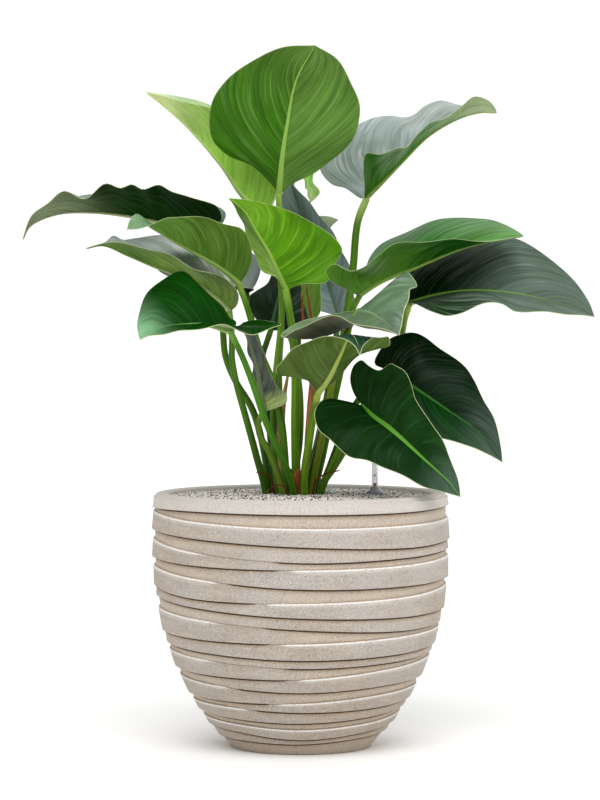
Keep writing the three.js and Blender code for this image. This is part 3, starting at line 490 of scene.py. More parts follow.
            [173, -147, 387], [201, -141, 379]],
        "stalk": [[78, -76, 489], [67, -62, 465], [54, -48, 433], [42, -36, 405]],
        "foot": [28, -22]},
    "cloak": {
        "rib": [[132, -30, 547], [162, -38, 526], [213, -50, 491], [258, -58, 459], [291, -60, 416]],
        "left": [[121, -22, 551], [107, -12, 558], [116, -2, 579], [130, 0, 595], [161, -4, 603],
            [179, -8, 598], [200, -14, 583], [237, -25, 555], [252, -33, 534], [265, -41, 506],
            [280, -50, 478], [289, -57, 439]],
        "right": [[125, -38, 532], [114, -48, 515], [123, -60, 490], [150, -72, 468], [178, -80, 459],
            [203, -82, 453], [231, -78, 443], [252, -72, 437], [272, -66, 427]],
        "stalk": [[111, -20, 527], [86, -14, 508], [66, -8, 470], [47, -2, 420]],
        "foot": [29, 6]},
    "apron": {
        "rib": [[24, -110, 516], [40, -130, 540], [55, -160, 572], [69, -205, 602], [77, -232, 594],
            [82, -248, 573]],
        "left": [[32, -106, 523], [48, -98, 534], [69, -98, 559], [86, -106, 572], [106, -118, 583],
            [126, -135, 586], [125, -150, 597], [111, -182, 599], [95, -216, 594], [86, -238, 586]],
        "right": [[16, -103, 528], [8, -95, 538], [-10, -92, 547], [-32, -104, 543], [-35, -115, 554],
            [-27, -126, 564], [-14, -146, 579], [6, -172, 592], [28, -196, 598], [57, -225, 598],
            [74, -242, 587]],
        "stalk": [[20, -102, 497], [16, -86, 473], [11, -68, 441], [6, -48, 405]],
        "foot": [5, -34]},
    "strap": {
        "rib": [[-52, -40, 490], [-57, -44, 517], [-64, -50, 557], [-75, -52, 593], [-82, -50, 619]],
        "left": [[-41, -44, 493], [-28, -42, 498], [-20, -36, 505], [-21, -32, 516], [-34, -31, 525],
            [-43, -33, 542], [-50, -36, 564], [-59, -39, 586], [-67, -43, 606], [-75, -46, 618]],
        "right": [[-56, -34, 503], [-62, -26, 520], [-68, -22, 538], [-72, -20, 561], [-78, -22, 586],
            [-82, -28, 604], [-84, -40, 618]],
        "stalk": [[-61, -46, 475], [-60, -47, 459], [-44, -41, 427], [-33, -37, 398]],
        "foot": [-26, -33]},
}
ROOT_LINES = [
    [[18, -35, 345], [18, -36, 372], [24, -42, 392], [38, -48, 400], [56, -52, 405]],
    [[-38, -20, 345], [-38, -21, 372], [-44, -30, 392], [-54, -38, 400], [-64, -44, 402]],
    [[-18, -50, 345], [-19, -51, 372], [-27, -56, 384], [-39, -60, 382], [-50, -62, 374]],
]
SHEATH_LINES = [
    [[5, -20, 340], [5, -20, 370], [9, -20, 420], [12, -20, 470], [15, -19, 520], [17, -18, 560]],
    [[-24, -8, 340], [-24, -8, 370], [-29, -6, 420], [-28, -4, 465], [-25, -4, 505], [-18, -4, 545]],
]
print("leaves:", len(LEAVES))

# %% [markdown]
# ## The shape of a blade
# A philodendron leaf is a thin waxy sheet on a strong rib. Its side veins leave the rib steeply
# and sweep towards the tip, the tissue bulges between them in shallow pleats, and the margin is
# wavy. A flat cut-out with a picture of veins would look like paper, so the blade is a real grid:
# rows follow the veins, columns crowd at the rib and at the margin, and pleats, rib and rounded
# edge are shifts of the points along the surface's own normal.

# %% Measures of a blade, in millimetres
BLADE = 0.9       # thickness
ROWS = 80
ROW_LEAD = 1.6    # power that keeps the rib's end of a row back towards the base
ARCH = 0.05       # height of a half's arch, as a share of its width
CUPPED = {"visor": [0.05, -0.14], "plume": [0.08, 0.05], "crown": [0.07, 0.07], "broad": [0.03, 0.1]}
WAVE = 2.2        # height of the waves at the margin
WAVES = 4
WAVE_SHIFT = 2    # turn of the right margin's waves against the left one's, in radians
RIB_DEPTH = [4.2, 1.0]       # at the base and at the tip
RIB_HALF_WIDTH = [4.2, 0.5]  # at the base and at the tip
RIB_TAPER = 1.4
RIB_RISE = 0.25              # how far the rib stands up on the upper face
RIB_STEPS = [0.35, 0.7, 1.0, 1.5]  # the first columns, in half widths of the rib
EDGE_STEPS = [2.4, 1.2, 0.5]       # the last columns, in millimetres from the margin
WIDEST_STEPS = [0.06, 0.03]        # most that a column by the rib and by the margin takes of a half
FIELD_COLUMNS = 12
VEINS = {"bib": 9, "front": 11, "visor": 9, "apron": 11, "paddle": 16, "plume": 15, "cloak": 15}
USUAL_VEINS = 13
PLEAT = {"sail": 1.1, "silver": 1.3, "crown": 0.6, "front": 0.8, "bib": 0.35, "broad": 0.3, "paddle": 0.5,
         "cloak": 0.6}  # height of a pleat
USUAL_PLEAT = 0.55
PLEAT_ROUNDING = 0.8
PLEAT_LEVEL = 0.6  # share of a pleat's height that goes below the plain surface
PLEATED_WIDTH = [0.03, 0.2]   # shares of the width between which the pleats rise to full height
PLEATED_LENGTH = [0.08, 0.9]  # shares of the length between which they have it
SWEEP = {"crown": 0.34, "silver": 0.3, "paddle": 0.34, "wing": 0.34, "cloak": 0.3, "plume": 0.28,
         "apron": 0.26, "bib": 0.1}  # how far a vein runs towards the tip on its way to the margin
USUAL_SWEEP = 0.2
SWEEP_BEND = 1.25


def half_shares(width, rib_half):
    """Shares of the way from the rib to the margin, close together at both."""
    by_rib, by_edge = WIDEST_STEPS
    near = [min(by_rib * (n + 1), step * rib_half / width) for n, step in enumerate(RIB_STEPS)]
    far = [1 - min(by_edge * (len(EDGE_STEPS) - n), step / width) for n, step in enumerate(EDGE_STEPS)]
    field = np.linspace(near[-1], far[0], FIELD_COLUMNS + 2)[1:-1]
    return np.array([*near, *field, *far, 1.0])


def blade_grid(name, leaf):
    """The middle surface of a blade, with the values that its points take from their place on it."""
    along = np.linspace(0, 1, ROWS + 1)
    lead = along**ROW_LEAD
    centre, forward = sample(leaf["rib"], lead)
    rib_half = RIB_HALF_WIDTH[1] + (RIB_HALF_WIDTH[0] - RIB_HALF_WIDTH[1]) * (1 - lead) ** RIB_TAPER
    halves = []
    for side, margin in ((-1, leaf["left"]), (1, leaf["right"])):
        edge, _ = sample([leaf["rib"][0], *margin, leaf["rib"][-1]], along)
        out = edge - centre
        width = np.maximum(np.linalg.norm(out, axis=1), 1e-3)
        up = unit(np.cross(out, forward)) * side
        share = np.array([half_shares(w, r) for w, r in zip(width, rib_half)])
        arch = CUPPED.get(name, [ARCH, ARCH])[side > 0]
        phase = WAVE_SHIFT if side > 0 else 0
        wave = WAVE * np.sin(np.pi * along) * np.sin(2 * np.pi * WAVES * along + phase)
        lift = 4 * share * (1 - share) * arch * width[:, None] + share**3 * wave[:, None]
        points = centre[:, None] + out[:, None] * share[..., None] + up[:, None] * lift[..., None]
        halves.append((points, share * side, np.repeat(width[:, None], share.shape[1], 1)))
    at_rib = (centre[:, None], np.zeros((ROWS + 1, 1)), halves[0][2][:, :1])
    points, share, width = (np.concatenate([left[:, ::-1], rib, right], 1)
                            for left, rib, right in zip(halves[0], at_rib, halves[1]))
    along = np.repeat(along[:, None], share.shape[1], 1)
    return points, share, width, along, rib_half[:, None], lead[:, None]


def surface_normals(points):
    """Upward normals of a grid, with rows from base to tip and columns from left to right."""
    across = np.gradient(points, axis=1)
    forward = np.gradient(points, axis=0)
    normals = np.cross(across, forward)
    normals[0] = normals[1].sum(axis=0)
    normals[-1] = normals[-2].sum(axis=0)
    return unit(normals)


def vein_turn(share, along, veins, sweep):
    """Counts the side veins along the blade: whole numbers lie on a vein."""
    return veins * (along - sweep * np.abs(share) ** SWEEP_BEND) + np.where(share > 0, 0.5, 0)


def build_blade(name, leaf, materials):
    """A closed leaf blade with pleats, a rib under it and a round thin edge."""
    points, share, width, along, rib_half, lead = blade_grid(name, leaf)
    s = np.abs(share)
    from_rib = s * width / rib_half
    from_edge = (1 - s) * width
    turn = vein_turn(share, along, VEINS.get(name, USUAL_VEINS), SWEEP.get(name, USUAL_SWEEP))
    bulge = np.abs(np.sin(np.pi * turn)) ** PLEAT_ROUNDING - PLEAT_LEVEL
    first, last = PLEATED_LENGTH
    field = ease(s, *PLEATED_WIDTH) * (1 - s**3) * ease(along, 0, first) * (1 - ease(along, last, 1))
    normals = surface_normals(points)
    points = points + normals * (PLEAT.get(name, USUAL_PLEAT) * bulge * field)[..., None]
    normals = surface_normals(points)
    keel = np.sqrt(np.clip(1 - from_rib**2, 0, 1))
    depth = (RIB_DEPTH[0] + (RIB_DEPTH[1] - RIB_DEPTH[0]) * lead) * keel
    half = BLADE / 2 * np.sqrt(np.clip(1 - (1 - np.clip(from_edge / BLADE, 0, 1)) ** 2, 0, 1))
    upper = points + normals * (half + RIB_RISE * keel)[..., None]
    lower = points - normals * (half + depth)[..., None]
    rows, columns = share.shape
    top = np.arange(rows * columns).reshape(rows, columns)
    bottom = top + rows * columns
    bottom[:, [0, -1]] = top[:, [0, -1]]
    for end in (0, -1):
        top[end] = top[end, 0]
        bottom[end] = top[end, 0]
        upper[end] = points[end, 0]
    quads = grid_quads(rows, columns)
    faces = np.vstack([top.ravel()[quads], bottom.ravel()[quads][:, ::-1]])
    used = np.unique(faces)

    def twice(grid):
        return np.concatenate([grid.ravel(), grid.ravel()])[used]

    everything = np.concatenate([upper.reshape(-1, 3), lower.reshape(-1, 3)])[used]
    uv = np.stack([twice(0.5 + share / 2), twice(along)], 1)
    which = np.repeat([0, 1], len(quads))
    values = {"from_rib": twice(from_rib), "from_edge": twice(from_edge)}
    faces = np.searchsorted(used, faces)
    return add_piece(f"blade_{name}", everything, faces, materials, which, uv, values), normals


half_columns = len(RIB_STEPS) + FIELD_COLUMNS + len(EDGE_STEPS) + 1
print("columns in a blade:", 2 * half_columns + 1, "rows:", ROWS + 1)

# %% [markdown]
# ## The finish of a blade
# The upper face is a deep waxy green with pale veins sunk in it, and the lower face is paler and
# duller with raised veins. Both have a light rib and a thin cream margin. One node group paints
# all of them: it reads the blade's UV map, where the height runs from base to tip and the width
# from margin to margin, so that the painted veins lie in the valleys of the modelled pleats.

# %% Group that paints a leaf face
PAINTED = [("Colour", "Color"), ("Roughness", "Float"), ("Height", "Float")]
SHADES = ["Left", "Right", "Tip", "Vein", "Rib", "Margin", "Sheen Colour"]
AMOUNTS = ["Veins", "Sweep", "Vein Strength", "Streaks", "Rib Width", "Margin Strength", "Tip From",
           "Tip To", "Roughness", "Raise", "Sheen"]
LEAF_INPUTS = [(label, "Color", linear("3a6a24")) for label in SHADES]
LEAF_INPUTS += [(label, "Float", 0.5) for label in AMOUNTS]
HALVES_APART = 7.3  # far enough in the noise that the two halves get streaks of their own
blade_paint, g, start, end = shader_group("Blade paint", LEAF_INPUTS, PAINTED)
u, v = g.uv_parts()
place = g.object_place()
share = g.math("ABSOLUTE", g.math("MULTIPLY_ADD", u, 2.0, -1.0))
right_half = g.math("GREATER_THAN", u, 0.5)
swept = g.times(g.math("POWER", share, SWEEP_BEND), start["Sweep"])
turn = g.times(g.math("SUBTRACT", v, swept), start["Veins"])
turn = g.math("MULTIPLY_ADD", right_half, 0.5, turn)
turn = g.math("ADD", turn, g.span(g.noise(place, 14.0, 2.0), 0.3, 0.7, -0.13, 0.13))


def streaks(crowded, stretch, detail):
    """Noise that is drawn out along the side veins."""
    spot = g.node("ShaderNodeCombineXYZ", {0: g.times(turn, crowded), 1: g.times(share, stretch),
                                           2: g.times(right_half, HALVES_APART)})
    return g.noise(spot.outputs[0], 1.0, detail, 0.6)


broad_streak = streaks(1.9, 1.2, 2.0)
before_tip = g.span(v, 0.55, 0.9, 1.0, 0.1)  # the veins crowd at the tip, so they fade out there
main_vein = g.times(g.span(g.math("PINGPONG", turn, 0.5), 0.01, 0.075, 1.0, 0.0),
                    g.span(share, 0.45, 1.0, 1.0, 0.25), g.span(broad_streak, 0.35, 0.65, 1.0, 0.35))
fine_vein = g.times(g.span(streaks(9.0, 2.0, 2.0), 0.52, 0.68), before_tip)
rib_mask = g.times(g.span(g.math("DIVIDE", g.named("from_rib"), start["Rib Width"]), 0.7, 1.05, 1.0, 0.0),
                   g.span(v, 0.45, 1.0, 1.0, 0.55))
edge_mask = g.span(g.named("from_edge"), 0.6, 1.3, 1.0, 0.0)
# Pale streaks on the outer blade: painted reflection of the room on the pleats.
shine = g.times(g.span(streaks(3.4, 1.1, 3.0), 0.44, 0.68), g.span(share, 0.1, 0.45),
                g.span(g.noise(place, 12.0, 2.0), 0.42, 0.6, 0.1, 1.0))
colour = g.coats(start["Left"], (g.span(u, 0.47, 0.53), start["Right"]),
                 (g.span(v, start["Tip From"], start["Tip To"]), start["Tip"]))
# A darker copy of the colour: on the broad streaks it is painted shade between the veins, on the random
# patches it is uneven tone.
dark = g.mix(1.0, colour, linear("a8b49c"), "MULTIPLY")
colour = g.coats(
    colour,
    (g.times(g.span(broad_streak, 0.42, 0.62), start["Streaks"]), dark),
    (g.span(g.noise(place, 16.0, 2.0), 0.4, 0.75, 0.0, 0.5), dark),
    # painted reflection
    (g.times(shine, start["Sheen"]), start["Sheen Colour"]),
    (g.times(start["Vein Strength"], 0.3, fine_vein), start["Vein"]),
    (g.times(main_vein, start["Vein Strength"]), start["Vein"]),
    (rib_mask, start["Rib"]),
    (g.times(edge_mask, start["Margin Strength"]), start["Margin"]))
relief = g.math("MULTIPLY_ADD", fine_vein, 0.2, g.times(main_vein, 0.7))
relief = g.math("MULTIPLY_ADD", broad_streak, 0.7, relief)
relief = g.times(start["Raise"], before_tip, relief)
g.put(end["Colour"], colour)
g.put(end["Roughness"], g.math("ADD", start["Roughness"], g.span(broad_streak, 0.3, 0.7, -0.05, 0.06)))
g.put(end["Height"], g.math("MULTIPLY_ADD", g.noise(place, 900.0, 2.0), 0.03, relief))
print("blade paint has", len(blade_paint.nodes), "nodes")

# %% [markdown]
# ## Twenty-one leaves, each with its own greens
# New leaves are yellow-green and thin enough to glow, old ones are nearly black, and the waxy
# upper faces turn silver where they mirror the sky. The glow of the lime and front leaves is
# painted into their colours as painted light, and much of the silver is painted into the upper
# colours and pale streaks as painted reflection. So each leaf has its own few colours for its
# upper and its lower face: left half, right half and tip, then the vein and the rib. Where a
# leaf's two halves differ, as on the crown, the difference is partly painted light, since one
# half faces the light more.

# %% Leaf colours
# Painted reflection: the near-white and grey-silver upper colours of lance, silver, night and visor and the
# grey tips of broad, paddle, bib and cloak are partly the sky mirrored in the wax. Painted light: lime and
# front are brighter than their own green, for the light that shines through them.
UPPER = {  # left, right, tip, vein, rib, roughness
    "crown": ["4a8028", "4a8028", "4f8a2c", "8db35e", "9cc070", 0.42],
    "lime": ["c8e2a4", "b2d28e", "d6ecc2", "c4e08c", "cfe29a", 0.42],
    "front": ["62a024", "5c9a22", "6aa82a", "9cc75a", "a5cc66", 0.40],
    "plume": ["5c7a72", "5c7a72", "6c8a80", "8aa58c", "9ab878", 0.36],
    "sail": ["4c8a50", "4c8a50", "769a6e", "8ab77e", "9cc47c", 0.38],
    "lance": ["eef2ee", "eef2ee", "8e9a94", "b0c0b0", "a4b892", 0.36],
    "broad": ["0c3e08", "0c4008", "90c494", "3c7a30", "7fae56", 0.30],
    "silver": ["8a9a96", "8898a0", "a4b0a8", "93a898", "a0b48a", 0.34],
    "wing": ["266e0e", "226c0c", "5c9840", "7aa868", "98c078", 0.36],
    "paddle": ["0a260c", "163c12", "5c6c60", "6c8c60", "76a040", 0.30],
    "visor": ["708e6c", "6e8a64", "728878", "7c9c74", "88a47c", 0.34],
    "dusk": ["889a9e", "889a9e", "889a9e", "5c7060", "5c7c58", 0.34],
    "spear": ["84b834", "84b834", "8eca3a", "7c9c50", "86a458", 0.45],
    "shade": ["042404", "042804", "042404", "2c4a2c", "34583a", 0.36],
    "bud": ["7cc02c", "9cd44c", "cce89c", "b0d898", "a8d078", 0.35],
    "distant": ["8ea87c", "8ea87c", "a8b894", "b4c49a", "b8c8a0", 0.40],
    "night": ["868e88", "7c8684", "20241f", "848c86", "8e968a", 0.36],
    "bib": ["1a3e16", "0e340a", "506456", "2c6430", "66a83a", 0.30],
    "cloak": ["0a280c", "0c3e12", "485a4e", "2c5432", "3a7626", 0.27],
    "apron": ["163c26", "143824", "1f4630", "4c7858", "b4d084", 0.30],
    "strap": ["1c4230", "1c4230", "284a3a", "3c6048", "7c9c64", 0.32],
}
UNDER = {  # the same for the lower face
    "crown": ["66923a", "3d7607", "52782a", "94b85c", "94ba54", 0.50],
    "lime": ["b8ee5c", "c8ee6a", "eaf4ae", "c0e088", "c4e284", 0.50],
    "front": ["569004", "b2e25e", "6c9e14", "8cc040", "8aae48", 0.48],
    "plume": ["0a3004", "0a3404", "94a27e", "3c5410", "a8b080", 0.50],
    "sail": ["5e862c", "628e30", "7caa4c", "86ac58", "94b458", 0.48],
    "lance": ["668430", "668632", "4a7428", "80985c", "94a86a", 0.50],
    "broad": ["74904e", "5c8040", "6c8c48", "88a860", "90ac60", 0.50],
    "silver": ["7c8c4c", "347404", "bac89e", "6c9438", "88a050", 0.45],
    "wing": ["6ca436", "6ca436", "044a04", "6c9448", "90b454", 0.40],
    "paddle": ["647c48", "647c48", "647c48", "8ca468", "8cac5c", 0.50],
    "visor": ["86886c", "767860", "86886c", "484c3e", "50563c", 0.55],
    "dusk": ["3c5038", "3c5038", "3c5038", "5c7050", "648058", 0.50],
    "spear": ["82b630", "82b630", "88bc36", "789850", "9a6034", 0.50],
    "shade": ["1c321c", "1c321c", "1c321c", "345034", "406040", 0.50],
    "bud": ["84bc24", "84bc24", "a8cc60", "98c468", "a0c870", 0.45],
    "distant": ["8c9c68", "8c9c68", "98a874", "a8b484", "acb888", 0.50],
    "night": ["0c100c", "0c100c", "0c100c", "20281f", "2c342a", 0.50],
    "bib": ["0c1c0e", "50703c", "50703c", "708c54", "7ca050", 0.30],
    "cloak": ["4c6c3c", "4c6c3c", "4c6c3c", "6c8c54", "78a050", 0.50],
    "apron": ["567030", "5a7234", "506c26", "7c9c58", "a4b85c", 0.50],
    "strap": ["bac882", "bac882", "5a5e5e", "5c6854", "66744e", 0.48],
}
MARGIN = {"upper": "cddca4", "under": "c4cc98"}
print("leaf colours:", len(UPPER), "upper and", len(UNDER), "under")

# %% How strongly each leaf shows its veins, streaks of painted shade, margin, tip, wax and painted reflection
STRENGTH = {"silver": 0.3, "dusk": 0.25, "shade": 0.2, "night": 0.2, "bib": 0.35, "cloak": 0.3, "broad": 0.3,
            "lance": 0.3, "visor": 0.25, "paddle": 0.35, "plume": 0.5, "crown": 0.38, "sail": 0.55,
            "front": 0.5}  # how clearly the veins show
STREAKS = {"lime": 0.4, "night": 0.3, "visor": 0.4, "bib": 0.5, "broad": 0.5, "silver": 0.5, "cloak": 0.8,
           "strap": 0.9, "crown": 0.6}  # how dark the broad streaks of painted shade between the veins are
RIB_WIDTH = {"bib": 1.6, "cloak": 0.8, "paddle": 1.2, "visor": 0.7}  # on the upper face
EDGE = {"bib": 0.8, "cloak": 0.8, "visor": 0.8, "apron": 0.75, "broad": 0.75, "plume": 0.7, "paddle": 0.7,
        "lance": 0.6, "crown": 0.25, "dusk": 0.25, "shade": 0.25}  # how clearly the margin shows
USUAL = {"strength": 0.4, "streaks": 0.55, "rib_width": 0.9, "edge": 0.45}
TIP_SPAN = {"broad_upper": [0.68, 1.0], "lance_upper": [0.35, 0.75], "paddle_upper": [0.32, 0.7],
            "strap_upper": [0.22, 0.4], "strap_under": [0.22, 0.4], "wing_under": [0.25, 0.7],
            "cloak_upper": [0.6, 1.0], "bib_upper": [0.7, 1.0]}
USUAL_TIP_SPAN = [0.55, 1.0]  # shares of the length between which a face passes to its tip colour
GLOSS = {"upper": {"bib": 0.03, "cloak": 0.06, "paddle": 0.04, "broad": 0.02, "shade": 0.1, "lance": 0.5,
                   "silver": 0.5, "apron": 0.15, "night": 0.5, "wing": 0.2},
         "under": {"plume": 0.02}}
USUAL_GLOSS = {"upper": 0.35, "under": 0.1}
SHEEN = {"upper": {"paddle": 0.28, "cloak": 0.09, "bib": 0.02, "visor": 0.4, "silver": 0.4,
                   "apron": 0.2, "wing": 0.15, "dusk": 0.15, "shade": 0.15, "lance": 0.3, "strap": 0.3},
         "under": {"crown": 0.18, "sail": 0.12, "wing": 0.24, "strap": 0.2}}  # how far the pale streaks of painted reflection show
# Colours of the pale streaks of painted reflection.
SHEEN_COLOUR = {"upper": "a8b8ac", "under": "aac880", "silver_upper": "eef4f2", "visor_upper": "d0dcd2",
                "paddle_upper": "b4c2b8", "wing_under": "b4c49c"}
COAT = {"lance_upper": [0.35, 0.35], "silver_upper": [0.4, 0.3]}
NO_COAT = [0.0, 0.3]  # weight and roughness of the wax on a face


def leaf_material(name, face, looks, raise_by, rib_width):
    """A waxy leaf face from the shared paint group. Its veins are raised, or sunk by a value below zero."""
    left, right, tip, vein, rib, roughness = looks
    tip_from, tip_to = TIP_SPAN.get(f"{name}_{face}", USUAL_TIP_SPAN)
    sheen_colour = SHEEN_COLOUR.get(f"{name}_{face}", SHEEN_COLOUR[face])

    def paint(graph):
        return graph.group(blade_paint, {
            "Left": linear(left), "Right": linear(right), "Tip": linear(tip), "Vein": linear(vein),
            "Rib": linear(rib), "Margin": linear(MARGIN[face]), "Veins": VEINS.get(name, USUAL_VEINS),
            "Sweep": SWEEP.get(name, USUAL_SWEEP), "Tip From": tip_from, "Tip To": tip_to,
            "Vein Strength": STRENGTH.get(name, USUAL["strength"]), "Rib Width": rib_width,
            "Streaks": STREAKS.get(name, USUAL["streaks"]), "Margin Strength": EDGE.get(name, USUAL["edge"]),
            "Roughness": roughness, "Raise": raise_by, "Sheen": SHEEN[face].get(name, 0.0),
            "Sheen Colour": linear(sheen_colour)})

    wax, wax_roughness = COAT.get(f"{name}_{face}", NO_COAT)
    return material(f"leaf_{name}_{face}", paint, bump=0.5, distance=0.6 * MM, shown=left,
                    Specular_IOR_Level=GLOSS[face].get(name, USUAL_GLOSS[face]),
                    Coat_Weight=wax, Coat_Roughness=wax_roughness)


blades = {}
blade_normals = {}
for name, leaf in LEAVES.items():
    faces = [leaf_material(name, "upper", UPPER[name], -1.0, RIB_WIDTH.get(name, USUAL["rib_width"])),
             leaf_material(name, "under", UNDER[name], 1.0, 1.0)]
    blades[name], blade_normals[name] = build_blade(name, leaf, faces)
print("blade triangles:", sum(triangles(b) for b in blades.values()))

# %% [markdown]
# ## Stalks
# A philodendron stalk is a firm round stem with fine ridges along it, a little thicker at its
# foot, and a joint just under the blade where it bends. A plain tube would look like a straw, so
# each one is a grid of rings along its line with the ridges in the radius, a soft ring at the
# joint, and an end that goes into the rib.

# %% Bars along a line
STALK_RADIUS = [5.6, 4.2]  # at the foot and under the blade
THICK_STALKS = {"front": [7.0, 5.0], "apron": [6.2, 4.8], "silver": [6.2, 5.2]}
STALK_END = 326            # height of its lower end, in the soil
GRAVEL_TOP = 365
STALK_SIDES = 21
STALK_STEPS = 70
RIDGES = 7
RIDGE_HEIGHT = 0.035       # share of the radius
RING_AT = 0.965            # share of the length
RING_LENGTH = 0.012
RING_HEIGHT = 0.07         # share of the radius
CAP_WIDTH = 0.6            # width of the ring that rounds an end
CAP_RISE = 0.45            # how far it stands out, as a share of the radius
CAP_TIP = 0.55             # the same for the last point
FIRST_SPOKE = [0.3, 1.0, 0.2]  # a direction that no bar starts along


def bar_grid(points, radii, sides, steps, ridge=0.0, ring=0.0):
    """Rings of points round a line, with the share along and round it."""
    shares = np.linspace(0, 1, steps + 1)
    centre, forward = sample(points, shares)
    side = unit(np.cross(forward[0], FIRST_SPOKE))
    spokes = []
    for way in forward:
        side = unit(side - way * np.dot(side, way))
        spokes.append(side)
    spokes = np.array(spokes)
    other = np.cross(forward, spokes)
    turn = turns(sides)
    radius = np.interp(shares, np.linspace(0, 1, len(radii)), radii)[:, None]
    radius = radius * (1 + ridge * np.cos(RIDGES * turn)[None])
    radius = radius * (1 + ring * np.exp(-((shares[:, None] - RING_AT) / RING_LENGTH) ** 2))
    rings = (centre[:, None] + radius[..., None] * (np.cos(turn)[None, :, None] * spokes[:, None]
             + np.sin(turn)[None, :, None] * other[:, None]))
    return rings, shares, turn / (2 * np.pi)


def build_bar(name, points, radii, materials, sides=STALK_SIDES, steps=STALK_STEPS, ridge=0.0, ring=0.0):
    """A closed bar with rounded ends."""
    rings, shares, round_share = bar_grid(points, radii, sides, steps, ridge, ring)
    caps = []
    tips = []
    for last, before, radius in ((0, 1, radii[0]), (-1, -2, radii[-1])):
        middle = rings[last].mean(axis=0)
        way = unit(middle - rings[before].mean(axis=0))
        caps.append(middle + (rings[last] - middle) * CAP_WIDTH + way * radius * CAP_RISE)
        tips.append(middle + way * radius * CAP_TIP)
    everything = np.concatenate([caps[:1], rings, caps[1:]])
    points = np.concatenate([everything.reshape(-1, 3), tips])
    along = np.concatenate([[0], shares, [1]])
    uv = np.stack(np.meshgrid(round_share, along), -1).reshape(-1, 2)
    uv = np.concatenate([uv, [[0.5, 0], [0.5, 1]]])
    return add_piece(name, points, capped_faces(len(everything), sides), materials, uv=uv)


def stalk_line(leaf, normals):
    """The stalk from the soil to the underside of its blade."""
    top = np.array(leaf["rib"][0], float) - normals[0, 0] * (BLADE + RIB_DEPTH[0]) / 2
    x, y = leaf["foot"]
    return [[x, y, STALK_END], [x, y, GRAVEL_TOP], *leaf["stalk"][::-1], top.tolist()]


print("a stalk has", STALK_SIDES, "points round it and", STALK_STEPS + 3, "rings along it")

# %% [markdown]
# ## The finish of a stalk
# Stalks are satin green with long light and dark streaks, partly their own stripes and partly
# painted highlight and painted shade, and paler where they join the blade. The same group paints
# sheaths and roots with other colours: streaks come from noise that is stretched along the UV map,
# so that they follow every bend.

# %% Group that paints stems
STREAK_LENGTH = 0.9  # how far the noise moves along a whole stem: not far, so that streaks run long
STEM_INPUTS = [(label, "Color", linear("6f9a3e")) for label in ("Light", "Dark", "Top")]
STEM_INPUTS += [("Streaks", "Float", 9.0), ("Roughness", "Float", 0.4)]
stem_paint, g, start, end = shader_group("Stem paint", STEM_INPUTS, PAINTED)
around, run = g.uv_parts()
angle = g.times(around, 2 * math.pi)
on_stem = g.node("ShaderNodeCombineXYZ", {0: g.math("COSINE", angle), 1: g.math("SINE", angle),
                                          2: g.times(run, STREAK_LENGTH)}).outputs[0]
crowded = g.node("ShaderNodeVectorMath", {0: on_stem, 1: start["Streaks"]}, operation="MULTIPLY")
streak = g.noise(crowded.outputs[0], 0.35, 3.0, 0.6)
spots = g.noise(g.object_place(), 60.0, 3.0)
colour = g.coats(start["Dark"], (g.span(streak, 0.34, 0.66), start["Light"]),
                 (g.span(run, 0.9, 0.985), start["Top"]),
                 (g.times(g.span(spots, 0.5, 0.8), 0.25), start["Dark"]))
g.put(end["Colour"], colour)
g.put(end["Roughness"], g.math("ADD", start["Roughness"], g.span(streak, 0.3, 0.7, -0.04, 0.08)))
g.put(end["Height"], streak)
print("stem paint has", len(stem_paint.nodes), "nodes")

# %% Stalk colours and the stalks themselves
# The light and dark colours are set far apart: the streaks are partly painted highlight and painted shade.
STEMS = {  # light, dark, top
    "crown": ["6c9a22", "28500c", "86aa46"], "front": ["6a981a", "265208", "80a43c"],
    "lime": ["889c28", "4a6816", "9ab44c"], "plume": ["52801a", "1c3c06", "6c9c36"],
    "sail": ["5e921c", "24500a", "86aa42"], "lance": ["507e1a", "1c4408", "7a9c3e"],
    "broad": ["528e1a", "1a460a", "6ca036"], "silver": ["5c861c", "325e12", "9ab45e"],
    "wing": ["5e921c", "22500a", "6c9c30"], "paddle": ["80a62c", "3c6014", "9ab452"],
    "visor": ["889c24", "3e5e12", "88a23e"], "dusk": ["52821c", "22440c", "5e8a32"],
    "spear": ["a08c44", "6c5a2c", "88a850"], "shade": ["406a14", "183608", "466c20"],
    "bud": ["6ca020", "305a10", "88b846"], "distant": ["5a8622", "28480e", "88a04c"],
    "night": ["4e781a", "1c380a", "547030"], "bib": ["5e921a", "1e4408", "5e9c2a"],
    "cloak": ["5a8a1a", "183c08", "5a8a28"], "apron": ["74a01c", "2e5a08", "90ac3e"],
    "strap": ["6c8e28", "2e5412", "94a24a"],
}


def stem_material(name, light, dark, top, roughness=0.4, streaks=5.0, bump=0.25):
    """A stem finish from the shared paint group."""

    def paint(graph):
        return graph.group(stem_paint, {"Light": linear(light), "Dark": linear(dark), "Top": linear(top),
                                        "Streaks": streaks, "Roughness": roughness})

    return material(name, paint, bump=bump, distance=0.5 * MM, shown=light, Specular_IOR_Level=0.14)


for name, leaf in LEAVES.items():
    seat(blades[name], f"leaf_{name}", f"leaf_{name}")
    finish = stem_material(f"stalk_{name}", *STEMS[name])
    line = stalk_line(leaf, blade_normals[name])
    stalk = build_bar(f"petiole_{name}", line, THICK_STALKS.get(name, STALK_RADIUS), [finish],
                      ridge=RIDGE_HEIGHT, ring=RING_HEIGHT)
    seat(stalk, "stalk", f"stalk_{name}")
print("triangles in a stalk:", triangles(stalk))

# %% [markdown]
# ## Sheaths and roots
# Each new leaf grows out of a papery sheath, which dries orange-brown and stays among the stalks.
# Short brown roots feel their way over the gravel. A sheath is a bar that swells and ends in a
# point, the dry tips above are thin strips, and a root is a thin crooked bar. What is left of the
# front stalk's sheath is a thin tube round its foot, torn along its top.

